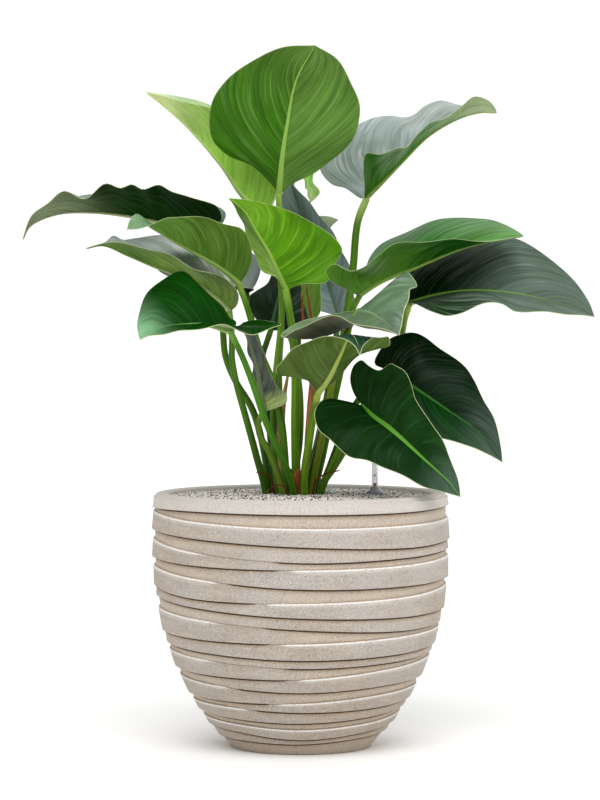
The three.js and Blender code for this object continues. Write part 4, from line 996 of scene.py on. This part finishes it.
# %% Sheaths and roots
SHEATH_WIDTH = [2.6, 4.6, 5.0, 4.2, 1.6]
SHEATH_LOOKS = [["d08c56", "9a5a30", "b08850"], ["c89c64", "8c6c38", "8c9448"]]  # light, dark, top
SHEATH_TIPS = [[[16, -12, 604], [15.5, -12, 622], [12, -12, 648], [7.5, -12, 673]],
               [[4.5, -14, 604], [3.5, -14, 622], [2.5, -14, 642], [3, -13, 661]]]
TIP_WIDTH = [1.8, 2.0, 1.7, 0.8]
ROOT_WIDTH = [1.7, 0.8]
THIN_SIDES = 12
root_finish = stem_material("root_bark", "7a3c28", "401c14", "8a4c34", 0.8, 6.0, 0.8)
tip_finish = stem_material("dry_sheath_tip", "b8623c", "7c3c20", "c07850", 0.6, 12.0, 0.5)
for number, (points, looks) in enumerate(zip(SHEATH_LINES, SHEATH_LOOKS), 1):
    finish = stem_material(f"dry_sheath_{number}", *looks, 0.6, 12.0, 0.5)
    sheath = build_bar(f"dry_sheath_{number}", points, SHEATH_WIDTH, [finish], ridge=0.06)
    seat(sheath, "sheath", f"sheath_{number}")
for number, points in enumerate(ROOT_LINES, 1):
    root = build_bar(f"aerial_root_{number}", points, ROOT_WIDTH, [root_finish], THIN_SIDES, 30, ridge=0.1)
    seat(root, "root", f"root_{number}")
for number, points in enumerate(SHEATH_TIPS, 1):
    strip = build_bar(f"dry_sheath_tip_{number}", points, TIP_WIDTH, [tip_finish], THIN_SIDES, 24)
    seat(strip, "sheath")
print("sheaths:", len(SHEATH_LINES), "sheath tips:", len(SHEATH_TIPS), "roots:", len(ROOT_LINES))


# %% Torn sleeve round the foot of the front stalk
SLEEVE = {"foot": 362.0, "top": 402.0, "wall": 0.7, "gap": 0.4, "ragged": 9.0, "folds": 0.35, "flare": 1.6}
SLEEVE_SIDES = 60
SLEEVE_STEPS = 16
TEARS = [2, 3, 5, 8, 13]  # waves round the top that add up to a ragged edge
LOWER_STALK = 0.4         # share of the stalk's line that the sleeve looks along


def build_sleeve(name, line, radius, materials):
    """A thin papery tube round the foot of a stalk, torn along its top."""
    spots, _ = sample(line, np.linspace(0, LOWER_STALK, 200))
    turn = turns(SLEEVE_SIDES)
    torn = sum(np.sin(k * turn + 1.7 * k) / k**0.6 for k in TEARS) / 3
    tops = SLEEVE["top"] + SLEEVE["ragged"] * torn
    layers = []
    for out in (SLEEVE["gap"], SLEEVE["gap"] + SLEEVE["wall"]):
        rows = []
        for share in np.linspace(0, 1, SLEEVE_STEPS + 1):
            height = SLEEVE["foot"] + (tops - SLEEVE["foot"]) * share
            axis = [np.interp(height, spots[:, 2], spots[:, k]) for k in (0, 1)]
            folds = SLEEVE["folds"] * np.sin(4 * turn + height * 0.1)
            loose = radius + out + folds + SLEEVE["flare"] * share**2
            rows.append(round_points(loose, turn, height, axis))
        layers.append(rows)
    rings = np.array([*layers[0][::-1], *layers[1]])
    count = len(rings)
    uv = np.stack(np.meshgrid(turn / (2 * np.pi), np.linspace(0, 1, count)), -1).reshape(-1, 2)
    quads = np.vstack([grid_quads(count, SLEEVE_SIDES, ring=True), closing_quads(count, SLEEVE_SIDES)])
    return add_piece(name, rings.reshape(-1, 3), quads[:, ::-1], materials, uv=uv)


sleeve_finish = stem_material("torn_sleeve", "b0683c", "74381c", "a86438", 0.75, 12.0, 0.7)
front_line = stalk_line(LEAVES["front"], blade_normals["front"])
sleeve = build_sleeve("torn_sleeve", front_line, THICK_STALKS["front"][0], [sleeve_finish])
seat(sleeve, "sheath")
print("sleeve triangles:", triangles(sleeve))

# %% [markdown]
# ## The planter
# The pot is cast stone with twenty-one irregular bands that rise, fall and thin out round it, like
# layers of torn card. Its plain solid has the bands with straight faces. Here each band gets a
# rounded upper lip, a slightly hollow face and a sharp lower edge over a dark groove, all worked
# out from the same few heights, so that lip, face and groove move together when a height changes.

# %% Measures of the pot, in millimetres
POT_HEIGHT = 371
POT_RADIUS = 215
SHOULDER = 308         # height of the widest place
FOOT_NARROWING = 0.52  # share of the radius that is gone at the foot
FOOT_CURVE = 2.45
RIM_NARROWING = 2
WALL = 22
FLOOR = 26             # thickness of the floor
FLOOR_RADIUS = 60
INSIDE_CURVE = {"in": 14, "up": 12, "height": 60}  # how the inside rounds into the floor
RIM_ROUND = 5
RIM_STEPS = 8
FOOT_ROUND = 4
POT_SIDES = 300
IN, EVEN, OUT = [-2.5, -2.2], [-1.0, 1.0], [1.0, 2.5]  # how far a band's top and bottom stand out
COMES_FORWARD = [-0.9, -0.4]  # where bands that stand out further on the right come forward
GOES_BACK = [-0.35, 0.25]     # and where the others go back
TURN_SPREAD = 0.14            # how far these places differ from band to band
TURN_STEP = 2.4
BANDS = [  # heights from the left over the front to the right, then the relief at the left and right
    [[21, 19, 20, 20, 17], OUT, OUT], [[4, 14, 19, 18, 18], IN, IN], [[27, 24, 26, 32, 31], OUT, OUT],
    [[13, 19, 22, 14, 14], IN, EVEN], [[27, 19, 10, 10, 9], OUT, IN], [[12, 18, 27, 30, 32], IN, OUT],
    [[29, 29, 20, 15, 10], OUT, IN], [[15, 13, 21, 29, 35], EVEN, OUT], [[17, 16, 17, 20, 20], IN, EVEN],
    [[34, 29, 20, 8, 6], OUT, IN], [[17, 19, 24, 26, 25], EVEN, OUT], [[9, 10, 12, 11, 11], IN, EVEN],
    [[26, 23, 16, 9, 6], OUT, IN], [[11, 14, 20, 25, 30], IN, OUT], [[27, 23, 16, 13, 12], OUT, IN],
    [[9, 8, 14, 20, 19], IN, OUT], [[14, 18, 17, 14, 12], OUT, EVEN], [[9, 8, 10, 9, 9], IN, IN],
    [[13, 13, 16, 15, 14], OUT, OUT], [[17, 14, 7, 9, 14], EVEN, EVEN], [[19, 18, 17, 22, 26], IN, IN],
]
GROOVE = 2.4
GROOVE_HEIGHT = 1.7
LEVEL_GROOVE = 0.4  # share of a groove that stays between two bands at one level
FULL_BAND = 9       # height from which a band has its full lip and edge
LIP = {"in": 1.3, "height": 2.6}
EDGE_BREAK = {"in": 0.4, "height": 1.3}
HOLLOW = 0.35       # how deep the face of a band is hollowed
LIP_HIGHLIGHT = {"at": 1.2, "fade": 1.4, "most": 1.3}  # the painted highlight along a lip
PAINTED_SHADE_HEIGHTS = [3.2, 4.5]  # heights of the painted shade over a ledge, and under the band above
RECESS = [-1.2, 2.0]       # depths between which a face passes to a recess
TOP_STEPS = [0.3, 0.8, 1.5, 2.6]
BOTTOM_STEPS = [2.2, 1.1, 0.4]
FACE_STEPS = 3
LOWEST_RING = 1.5          # bands end here, over the round foot


def pot_radius(height):
    """Radius of the pot's plain body at a height."""
    rise = np.clip((height - SHOULDER) / (POT_HEIGHT - SHOULDER), 0, 1)
    drop = np.clip((SHOULDER - height) / SHOULDER, 0, 1)
    return POT_RADIUS * (1 - FOOT_NARROWING * drop**FOOT_CURVE) - RIM_NARROWING * rise**2


def all_round(readings, turn):
    """A value round the pot: a smooth line through the front's readings, a plain one at the back."""
    values = np.array(readings, float)
    place = 4 - 4 * np.arccos(np.cos(turn)) / np.pi
    k = np.minimum(np.floor(place), 3).astype(int)
    t = place - k
    a, b, c, d = (values[4 - np.abs(4 - np.abs(k + n))] for n in (-1, 0, 1, 2))
    front = b + t / 2 * (c - a + t * (2 * a - 5 * b + 4 * c - d + t * (3 * (b - c) + d - a)))
    back = (values[0] + values[-1]) / 2 + (values[-1] - values[0]) / 2 * np.cos(turn)
    return np.where(np.sin(turn) > 0, back, front)


def groove_depth(step):
    """1 where the upper band stands out over the lower one, and a faint line where they are level."""
    return np.maximum(ease(step, 0.0, 1.0), LEVEL_GROOVE * (1 - ease(np.abs(step), 0.3, 1.4)))


def fading(distance, reach):
    """1 at no distance, falling evenly to 0 at the reach."""
    return np.clip(1 - distance / reach, 0, 1)


def band_rings():
    """Radius, height, groove, recess, painted lip highlight and painted shade of each ring of the banded
    outside.
    """
    turn = turns(POT_SIDES)
    heights = np.array([all_round(band[0], turn) for band in BANDS])
    bottoms = POT_HEIGHT - np.cumsum(heights * POT_HEIGHT / heights.sum(axis=0), axis=0)
    tops = np.concatenate([np.full((1, POT_SIDES), POT_HEIGHT - RIM_ROUND), bottoms[:-1]])
    heights = tops - bottoms
    outs = []
    for n, (_, left, right) in enumerate(BANDS):
        place = COMES_FORWARD if right[0] > left[0] else GOES_BACK
        share = ease(np.cos(turn) + TURN_SPREAD * np.sin(TURN_STEP * n), *place)
        outs.append([left[end] + (right[end] - left[end]) * share for end in (0, 1)])
    top_out, bottom_out = np.array(outs).transpose(1, 0, 2)
    rings = []
    for n in range(len(BANDS)):
        room = np.minimum(1, heights[n] / FULL_BAND)
        above = bottom_out[n - 1] if n else top_out[n]
        over = groove_depth(above - top_out[n]) if n else 0
        slot = GROOVE_HEIGHT * over * room
        ledge = ease(top_out[n] - above, 0.0, 1.0)
        below = top_out[n + 1] if n < len(BANDS) - 1 else bottom_out[n]
        shelf = ease(below - bottom_out[n], 0.0, 1.5)
        spots = [("top", step) for step in TOP_STEPS]
        spots += [("face", f) for f in np.linspace(0, 1, FACE_STEPS + 2)[1:-1]]
        spots += [("bottom", step) for step in BOTTOM_STEPS]
        low = slot + TOP_STEPS[-1] * room
        high = heights[n] - BOTTOM_STEPS[0] * room
        for kind, value in spots:
            down = {"top": slot + value * room, "bottom": heights[n] - value * room,
                    "face": low + (high - low) * value}[kind]
            height = tops[n] - down
            share = down / heights[n]
            rise = top_out[n] + (bottom_out[n] - top_out[n]) * share
            lip = fading(down, LIP["height"] * room) * ledge
            edge = fading(heights[n] - down, EDGE_BREAK["height"] * room)
            radius = pot_radius(height) + rise - LIP["in"] * lip**2 - EDGE_BREAK["in"] * edge**2
            radius = radius - HOLLOW * np.sin(np.pi * share)
            # Painted highlight: a bright line along the top of each lip.
            from_line = np.abs(down / room - LIP_HIGHLIGHT["at"]) / LIP_HIGHLIGHT["fade"]
            bright = np.clip(LIP_HIGHLIGHT["most"] - from_line, 0, 1) * ledge
            # Painted shade: the stone is darkened over a ledge and under a band that stands out above.
            dust = np.maximum(fading(heights[n] - down, PAINTED_SHADE_HEIGHTS[0] * room) * shelf,
                              fading(down - slot, PAINTED_SHADE_HEIGHTS[1] * room) * over)
            rings.append((radius, height, 0 * height, ease(-rise, *RECESS), bright, dust))
        if n < len(BANDS) - 1:
            drop = groove_depth(bottom_out[n] - top_out[n + 1])
            next_slot = GROOVE_HEIGHT * drop * np.minimum(1, heights[n + 1] / FULL_BAND)
            inner = np.minimum(bottom_out[n], top_out[n + 1]) - GROOVE * drop
            for height in (bottoms[n] - 0.1, bottoms[n] - 0.15 - next_slot * 0.85):
                plain = 0 * height
                rings.append((pot_radius(height) + inner, height, drop, ease(-inner, *RECESS), plain, plain))
    return rings, turn


def plain_ring(radius, height, groove=0.0, recess=0.0):
    """A level round ring without a painted lip highlight or painted shade."""
    return [np.full(POT_SIDES, value) for value in (radius, height, groove, recess, 0.0, 0.0)]


def build_pot(name, materials):
    """The planter as one closed shell: inside, rim, banded outside and underside."""
    bands, turn = band_rings()
    up, low = INSIDE_CURVE["up"], INSIDE_CURVE["height"]
    heights = [*(FLOOR + up * (1 - np.cos(np.linspace(0.4, np.pi / 2, 4)))),
               *np.linspace(low, POT_HEIGHT - 2 * RIM_ROUND, 12)]
    inside = [plain_ring(FLOOR_RADIUS, FLOOR)]
    for height in heights:
        curve = INSIDE_CURVE["in"] * (1 - ease(height, FLOOR, low))
        inside.append(plain_ring(pot_radius(height) - WALL - curve, height))
    rim = []
    for a in np.pi * np.arange(RIM_STEPS + 1) / RIM_STEPS:
        radius = pot_radius(POT_HEIGHT) - WALL / 2 - 0.5 - (WALL / 2 - 0.5) * np.cos(a)
        rim.append(plain_ring(radius, POT_HEIGHT - RIM_ROUND * (1 - abs(np.sin(a)) ** 0.6)))
    foot = [plain_ring(pot_radius(1.0) - 0.8, 1.0, 0.2, 0.6),
            plain_ring(pot_radius(0.0) - FOOT_ROUND, 0.0, 0.0, 0.6)]
    bands = [ring for ring in bands if np.min(ring[1]) > LOWEST_RING]
    radius, height, *values = np.array([*inside, *rim, *bands, *foot]).transpose(1, 0, 2)
    inner = np.zeros_like(radius)
    inner[:len(inside) + RIM_STEPS // 2 - 1] = 1
    points = np.concatenate([round_points(radius, turn, height).reshape(-1, 3), [[0, 0, FLOOR], [0, 0, 0]]])
    values = {key: np.append(grid, [0, 0])
              for key, grid in zip(["groove", "recess", "lip", "dust", "inner"], [*values, inner])}
    return add_piece(name, points, capped_faces(len(radius), POT_SIDES), materials, values=values)


print("widest radius:", POT_RADIUS + OUT[1], "mm")

# %% [markdown]
# ## The finish of cast stone
# The stone is a pale mix of sand and lime: grey-cream on the raised bands and warmer in the
# recesses. Painted shade darkens it over each ledge and under each band that stands out, and
# turns the grooves nearly brown; a painted highlight makes the upper lips almost white. Tiny pits
# and sand grains cover it. The mesh says where lips, recesses and grooves are, and noise at the
# size of real grains does the rest.

# %% Stone material
# The groove colour and the dark brown by the ledges are painted shade, and the lip colour is a painted
# highlight.
STONE = {"face": "b4aca6", "warm": "aca092", "recess": "cabba8", "groove": "66523e", "lip": "f8f5f1",
         "rim": "d2ccc5", "low": "a09080", "pit": "6c543c", "grain": "f2ede6", "dust": "967650"}


def stone_paint(graph):
    """Colour, roughness and height of the cast stone."""
    place = graph.object_place()
    height = graph.node("ShaderNodeSeparateXYZ", {0: place}).outputs[2]
    layers = graph.node("ShaderNodeMapping", {"Vector": place, "Scale": (1, 1, 9)}).outputs[0]
    aside = graph.node("ShaderNodeMapping", {"Vector": place, "Location": (3, 1, 2)}).outputs[0]
    cloud = graph.noise(place, 9.0, 4.0)
    smear = graph.noise(layers, 14.0, 5.0, 0.65)
    sand = graph.noise(place, 620.0, 3.0, 0.7)
    fine = graph.noise(aside, 760.0, 3.0, 0.7)
    pits = graph.node("ShaderNodeTexVoronoi", {"Vector": place, "Scale": 300.0}).outputs["Distance"]
    pit_field = graph.span(graph.noise(place, 45.0, 2.0), 0.48, 0.6)
    pit = graph.times(graph.span(pits, 0.14, 0.3, 1.0, 0.0), pit_field)
    rough_part = graph.span(height, 0.348, 0.356, 1.0, 0.7)
    shade = {key: linear(value) for key, value in STONE.items()}
    colour = graph.coats(
        shade["face"],
        (graph.span(cloud, 0.35, 0.7), shade["warm"]),
        (graph.span(smear, 0.48, 0.66, 0.0, 0.45), shade["recess"]),
        (graph.times(graph.named("recess"), graph.span(smear, 0.35, 0.6, 0.55, 0.95)), shade["recess"]),
        (graph.span(height, 0.02, 0.16, 0.35, 0.0), shade["low"]),
        (graph.span(height, 0.345, 0.356, 0.0, 0.8), shade["rim"]),
        (graph.named("inner"), shade["rim"]),
        # painted shade over the ledges and under the overhanging bands
        (graph.times(graph.named("dust"), 0.7), shade["dust"]),
        # painted highlight on the lips
        (graph.times(graph.named("lip"), 0.95), shade["lip"]),
        (graph.times(graph.span(sand, 0.5, 0.68, 0.0, 0.5), rough_part), shade["grain"]),
        (graph.times(graph.span(fine, 0.5, 0.66, 0.0, 0.55), rough_part), shade["pit"]),
        (graph.times(rough_part, 0.7, pit), shade["pit"]),
        # painted shade in the grooves
        (graph.span(graph.named("groove"), 0.15, 0.7, 0.0, 0.95), shade["groove"]))
    relief = graph.math("MULTIPLY_ADD", pit, -1.2, graph.times(sand, 0.8))
    relief = graph.times(graph.math("MULTIPLY_ADD", smear, 0.9, relief), rough_part)
    return {"Colour": colour, "Roughness": graph.span(cloud, 0.3, 0.7, 0.78, 0.9), "Height": relief}


stone = material("cast_stone", stone_paint, bump=0.45, distance=0.8 * MM, shown=STONE["face"])
planter = build_pot("planter", [stone])
seat(planter, "pot", "pot")
print("planter triangles:", triangles(planter))

# %% [markdown]
# ## Soil and gravel
# The soil is hidden under the gravel, so its plain solid stays and only gets a finish. The
# gravel is what shows: mineral grains three to six millimetres long, white, cream, tan, dark brown
# and pale blue-grey. Modelling each by hand is hopeless and a bumpy picture is flat from the side,
# so Geometry Nodes scatter real little stones over a heaped bed, in one mesh of light stones and
# one of dark ones.

# %% Soil finish
def soil_paint(graph):
    """Crumbly dark soil."""
    crumb = graph.noise(graph.object_place(), 220.0, 5.0, 0.7)
    return {"Colour": graph.mix(graph.span(crumb, 0.35, 0.65), linear("241a14"), linear("4a382a")),
            "Roughness": graph.span(crumb, 0.3, 0.7, 0.85, 1.0), "Height": crumb}


soil_finish = material("potting_soil", soil_paint, bump=0.8, distance=1.5 * MM, shown="3a2c22")
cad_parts["soil"].data.materials.clear()
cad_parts["soil"].data.materials.append(soil_finish)

# %% Gravel bed
GRAVEL_MOUND = 4      # how much higher the heap is in its middle
GRAVEL_FLOOR = 350.3
BED_DROP = 1.6        # how far the bed lies under the gravel's height, to leave room for the grains
BED_GAP = 1.2
BED_UNEVEN = 0.6
BED_SEED = 11
BED_RINGS = 40
BED_SIDES = 120


def gravel_height(radius, edge):
    """Height of the heaped gravel at a radius."""
    return GRAVEL_TOP + GRAVEL_MOUND * (1 - (radius / edge) ** 2)


def grain_paint(light, dark, mixed):
    """Stones of a few colours, chosen by a number that each one carries."""

    def paint(graph):
        pick = graph.named("pick")
        ramp = graph.node("ShaderNodeValToRGB", {"Fac": pick})
        ramp.color_ramp.interpolation = "CONSTANT"
        shades = [light, dark, *mixed]
        for number, shade in enumerate(shades):
            elements = ramp.color_ramp.elements
            element = elements[number] if number < 2 else elements.new(number / len(shades))
            element.position = number / len(shades)
            element.color = linear(shade)
        speck = graph.noise(graph.object_place(), 700.0, 3.0, 0.6)
        colour = graph.mix(graph.span(speck, 0.45, 0.75, 0.0, 0.18), ramp.outputs[0], linear("7e6c60"))
        return {"Colour": colour, "Roughness": graph.span(speck, 0.3, 0.7, 0.35, 0.75), "Height": speck}

    return paint


# The bed shows only in the gaps between grains, and its darker brown is painted shade there.
bed_finish = material("gravel_bed", grain_paint("9c8474", "5c4a42", ["b8a294", "4a3c36"]), bump=0.8,
                      distance=1.0 * MM, shown="8c7c70")
edge = float(pot_radius(POT_HEIGHT - RIM_ROUND)) - WALL - BED_GAP
turn = turns(BED_SIDES)
radii = edge * np.arange(1, BED_RINGS + 1)[:, None] / BED_RINGS
draw = np.random.default_rng(BED_SEED)
uneven = draw.uniform(-BED_UNEVEN, BED_UNEVEN, (BED_RINGS, BED_SIDES))
bed = round_points(radii, turn, gravel_height(radii, edge) - BED_DROP + uneven)
bed = np.concatenate([bed, [round_points(edge, turn, GRAVEL_FLOOR)]])
middle = [[0, 0, GRAVEL_TOP + GRAVEL_MOUND - BED_DROP], [0, 0, GRAVEL_FLOOR]]
bed_points = np.concatenate([bed.reshape(-1, 3), middle])
gravel_bed = add_piece("gravel_bed", bed_points, capped_faces(len(bed), BED_SIDES), [bed_finish])
seat(gravel_bed, "gravel", "gravel")
print("gravel bed radius:", round(edge, 1), "mm")

# %% Geometry Nodes tree that scatters grains
FULL_TURN = 6.28
GRAIN_FORM = [(0.65, 0.5, 0.45), (1.35, 1.1, 0.9)]  # least and greatest length, width and thickness


def grain_tree():
    """Scatters small stones over the bed: density, size, seed and finish are inputs."""
    tree = bpy.data.node_groups.new("Scatter grains", "GeometryNodeTree")
    tree.interface.new_socket("Bed", in_out="INPUT", socket_type="NodeSocketGeometry")
    for label, kind, value in (("Density", "Float", 30000.0), ("Grain Size", "Float", 0.0035),
                               ("Seed", "Int", 1), ("Finish", "Material", None)):
        socket = tree.interface.new_socket(label, in_out="INPUT", socket_type=f"NodeSocket{kind}")
        if value is not None:
            socket.default_value = value
    tree.interface.new_socket("Grains", in_out="OUTPUT", socket_type="NodeSocketGeometry")
    g = Graph(tree)
    start, end = g.node("NodeGroupInput").outputs, g.node("NodeGroupOutput").inputs
    normal_z = g.node("ShaderNodeSeparateXYZ", {0: g.node("GeometryNodeInputNormal").outputs[0]}).outputs[2]
    upward = g.math("GREATER_THAN", normal_z, 0.5)
    points = g.node("GeometryNodeDistributePointsOnFaces", {
        "Mesh": start["Bed"], "Selection": upward, "Density": start["Density"], "Seed": start["Seed"]})
    stone_shape = g.node("GeometryNodeMeshIcoSphere", {"Radius": 0.5, "Subdivisions": 1}).outputs["Mesh"]
    turned = g.node("FunctionNodeRandomValue", {
        0: (0, 0, 0), 1: [FULL_TURN] * 3, "Seed": start["Seed"]}, data_type="FLOAT_VECTOR").outputs[0]
    spread = g.node("FunctionNodeRandomValue", {
        0: GRAIN_FORM[0], 1: GRAIN_FORM[1], "Seed": start["Seed"]}, data_type="FLOAT_VECTOR").outputs[0]
    sized = g.node("ShaderNodeVectorMath", {0: spread, 3: start["Grain Size"]}, operation="SCALE").outputs[0]
    scattered = g.node("GeometryNodeInstanceOnPoints", {
        "Points": points.outputs["Points"], "Instance": stone_shape, "Rotation": turned, "Scale": sized})
    pick = g.node("FunctionNodeRandomValue", {"Seed": start["Seed"]}, data_type="FLOAT").outputs[1]
    marked = g.node("GeometryNodeStoreNamedAttribute", {
        "Geometry": scattered.outputs[0], "Name": "pick", "Value": pick},
                    data_type="FLOAT", domain="INSTANCE")
    real = g.node("GeometryNodeRealizeInstances", {0: marked.outputs[0]})
    finished = g.node("GeometryNodeSetMaterial", {"Geometry": real.outputs[0], "Material": start["Finish"]})
    g.put(end["Grains"], finished.outputs[0])
    return tree


def scatter(name, tree, ground, **values):
    """Runs the tree on a copy of the ground and keeps the result as a plain mesh."""
    host = new_object(name + "_ground", ground.data.copy())
    modifier = host.modifiers.new("scatter", "NODES")
    modifier.node_group = tree
    for item in tree.interface.items_tree:
        key = item.name.replace(" ", "_")
        if item.in_out == "INPUT" and key in values:
            modifier[item.identifier] = values[key]
    bpy.context.view_layer.update()
    made = bpy.data.meshes.new_from_object(host.evaluated_get(bpy.context.evaluated_depsgraph_get()))
    host.modifiers.clear()
    bpy.data.objects.remove(host)
    made.name = name
    return new_object(name, made)


light_shades = grain_paint("fef8f4", "e8eef0", ["fae6da", "fefcfa", "f0d8ca", "e0ecee"])
dark_shades = grain_paint("3c2a26", "84685c", ["1e1616", "a8887a", "4c3630", "2c201e"])
light_grains = material("light_grains", light_shades, bump=0.4, distance=0.4 * MM, shown="e0d8cc",
                        Specular_IOR_Level=0.9)
dark_grains = material("dark_grains", dark_shades, bump=0.5, distance=0.4 * MM, shown="6a564a")
grains = grain_tree()
GRAIN_SIZE = 0.0047  # metres, before a grain is stretched
HEAPS = [("light_gravel", light_grains, 3, 56000.0), ("dark_gravel", dark_grains, 8, 26000.0)]
for name, finish, seed, density in HEAPS:
    heap = scatter(name, grains, gravel_bed, Density=density, Grain_Size=GRAIN_SIZE, Seed=seed, Finish=finish)
    seat(heap, "gravel")
    print(name, "triangles:", triangles(heap))

# %% [markdown]
# ## The water gauge
# A clear tube stands in the gravel, with a coloured float in it and a smoky bell at its foot.
# A few points turned round an axis are enough for each part. The tube lets light through but shows
# nothing sharp behind it, and the two small level marks before it are plain coloured plates.

# %% Turned pieces of the gauge
GAUGE_PLACE = [108, 0]
GAUGE_SIDES = 40


def turned(name, profile, materials):
    """A closed shape turned round the gauge's axis from [radius, height] points."""
    ring = np.array(profile, float)
    points = round_points(ring[:, :1], turns(GAUGE_SIDES), ring[:, 1:], GAUGE_PLACE).reshape(-1, 3)
    faces = grid_quads(len(ring), GAUGE_SIDES, ring=True)
    poles = [row * GAUGE_SIDES for row in (0, len(ring) - 1) if ring[row, 0] == 0]
    if not poles:
        faces = np.vstack([faces, closing_quads(len(ring), GAUGE_SIDES)])
    for first in poles:
        faces = np.where((faces >= first) & (faces < first + GAUGE_SIDES), first, faces)
    used = np.unique(faces)
    return add_piece(name, points[used], np.searchsorted(used, faces), materials)


TUBE = {"outer": 4.6, "bore": 3.1, "foot": 60, "top": 440}
FLOAT = {"radius": 2.8, "foot": 330, "top": 381}
BELL_SEAT = 366.3  # height of the bell's underside on the gravel
clear = material("clear_tube", linear("fcfcff"), 0.25, shown="e8edf0", Transmission_Weight=0.8, IOR=1.2)
smoke = material("smoky_cap", linear("a6a4b2"), 0.25, shown="8b8d92", Coat_Weight=0.3)
red = material("float_red", linear("b03024"), 0.35, shown="b4281e")
yellow = material("mark_yellow", linear("e8b830"), 0.4, shown="e8b830")
tube = turned("gauge_clear_tube", [
    [0, TUBE["top"] - 3], [TUBE["bore"], TUBE["top"] - 3], [TUBE["bore"], TUBE["foot"]],
    [TUBE["outer"], TUBE["foot"]], [TUBE["outer"], TUBE["top"] - 2], [TUBE["outer"] - 0.5, TUBE["top"] - 0.7],
    [TUBE["outer"] - 1.4, TUBE["top"]], [0, TUBE["top"]]], [clear])
seat(tube, "gauge_tube", "gauge_tube")
float_piece = turned("gauge_red_float", [
    [0, FLOAT["foot"]], [FLOAT["radius"], FLOAT["foot"]], [FLOAT["radius"], FLOAT["top"] - 1],
    [FLOAT["radius"] - 0.8, FLOAT["top"]], [0, FLOAT["top"]]], [red])
seat(float_piece, "gauge_float", "gauge_float")
bell = [[4.9, 0], [12.5, 0], [12.5, 4.6], [12.2, 5.6], [11.0, 6.8], [9.2, 8.0], [7.8, 9.6], [7.0, 11.4],
        [6.3, 12.4], [5.6, 12.7], [4.9, 12.7]]
cap = turned("gauge_smoky_cap", [[r, BELL_SEAT + h] for r, h in bell], [smoke])
seat(cap, "gauge_foot", "gauge_foot")
MARKS = {  # finish, then corners as [sideways, height]
    "gauge_level_mark": [yellow, [[-1.7, 394.0], [1.7, 394.0], [0, 398.5]]],
    "gauge_low_mark": [red, [[-2.0, 380.5], [2.0, 380.5], [2.0, 384.0], [-2.0, 384.0]]]}
MARK_DEPTH = [4.3, 4.8]  # how far the back and the front of a mark stand before the gauge's axis
for name, (finish, corners) in MARKS.items():
    count = len(corners)
    mark_points = [[GAUGE_PLACE[0] + x, GAUGE_PLACE[1] - y, z] for y in MARK_DEPTH for x, z in corners]
    mark_faces = [list(range(count))[::-1], list(range(count, 2 * count))]
    mark_faces += [[k, (k + 1) % count, (k + 1) % count + count, k + count] for k in range(count)]
    mark = add_piece(name, mark_points, mark_faces, [finish])
    seat(mark, "gauge_float")
print("gauge pieces:", 3 + len(MARKS))

# %% [markdown]
# ## Floor, light and camera
# The plant stands on a plain pale floor in a bright even room. A room alone gives no form, so a
# wide soft light comes from the front and above, and a weaker one from the right. The camera looks
# from a little above the middle of the plant through a long lens, nearly level.

# %% Stage
FLOOR_HALF = 40.0
floor_mesh = bpy.data.meshes.new("floor")
corners = [(x * FLOOR_HALF, y * FLOOR_HALF, 0) for x, y in ((-1, -1), (1, -1), (1, 1), (-1, 1))]
floor_mesh.from_pydata(corners, [], [(0, 1, 2, 3)])
floor_mesh.materials.append(material("floor_paint", linear("fbfbfa"), 0.9, shown="fbfbfa"))
floor = new_object("floor", floor_mesh)

SEEN_LIGHT = 1.1             # how bright the room looks to the camera
ROOM_LIGHT = [0.32, 1.05]    # how strongly its front and its back light the plant
world = bpy.data.worlds.new("studio")
bpy.context.scene.world = world
world.use_nodes = True
room = Graph(world.node_tree)
background = world.node_tree.nodes["Background"]
room.put(background.inputs["Color"], linear("ffffff"))
way = room.node("ShaderNodeTexCoord").outputs["Generated"]
depth = room.node("ShaderNodeSeparateXYZ", {0: way}).outputs[1]
light = room.span(depth, -0.5, 0.7, *ROOM_LIGHT)
seen = room.node("ShaderNodeLightPath").outputs["Is Camera Ray"]
shown = room.math("MULTIPLY_ADD", seen, room.math("SUBTRACT", SEEN_LIGHT, light), light)
room.put(background.inputs["Strength"], shown)
SUNS = {  # direction that the light comes from, spread in degrees and strength
    "key_light": [(-0.08, -1.0, 1.3), 45, 2.0],
    "fill_light": [(0.9, -0.6, 1.0), 60, 0.6],
}
for name, (way, spread, power) in SUNS.items():
    lamp = bpy.data.lights.new(name, "SUN")
    lamp.angle = math.radians(spread)
    lamp.energy = power
    holder = new_object(name, lamp)
    holder.rotation_euler = Vector(way).to_track_quat("Z", "Y").to_euler()
bpy.context.scene.view_settings.view_transform = "Standard"

# %% Camera
CAMERA_PLACE = (-0.001, -4.6, 0.648)
LOOKS_DOWN = 1.78  # degrees
LENS = 142
SENSOR = 36
CLIP_END = 200
camera_data = bpy.data.cameras.new("camera")
camera_data.sensor_width = SENSOR
camera_data.sensor_height = SENSOR
camera_data.lens = LENS
camera_data.clip_end = CLIP_END
camera = new_object("camera", camera_data)
camera.location = CAMERA_PLACE
camera.rotation_euler = (math.radians(90 - LOOKS_DOWN), 0, 0)
bpy.context.scene.camera = camera
print("camera height:", camera.location.z, "m")
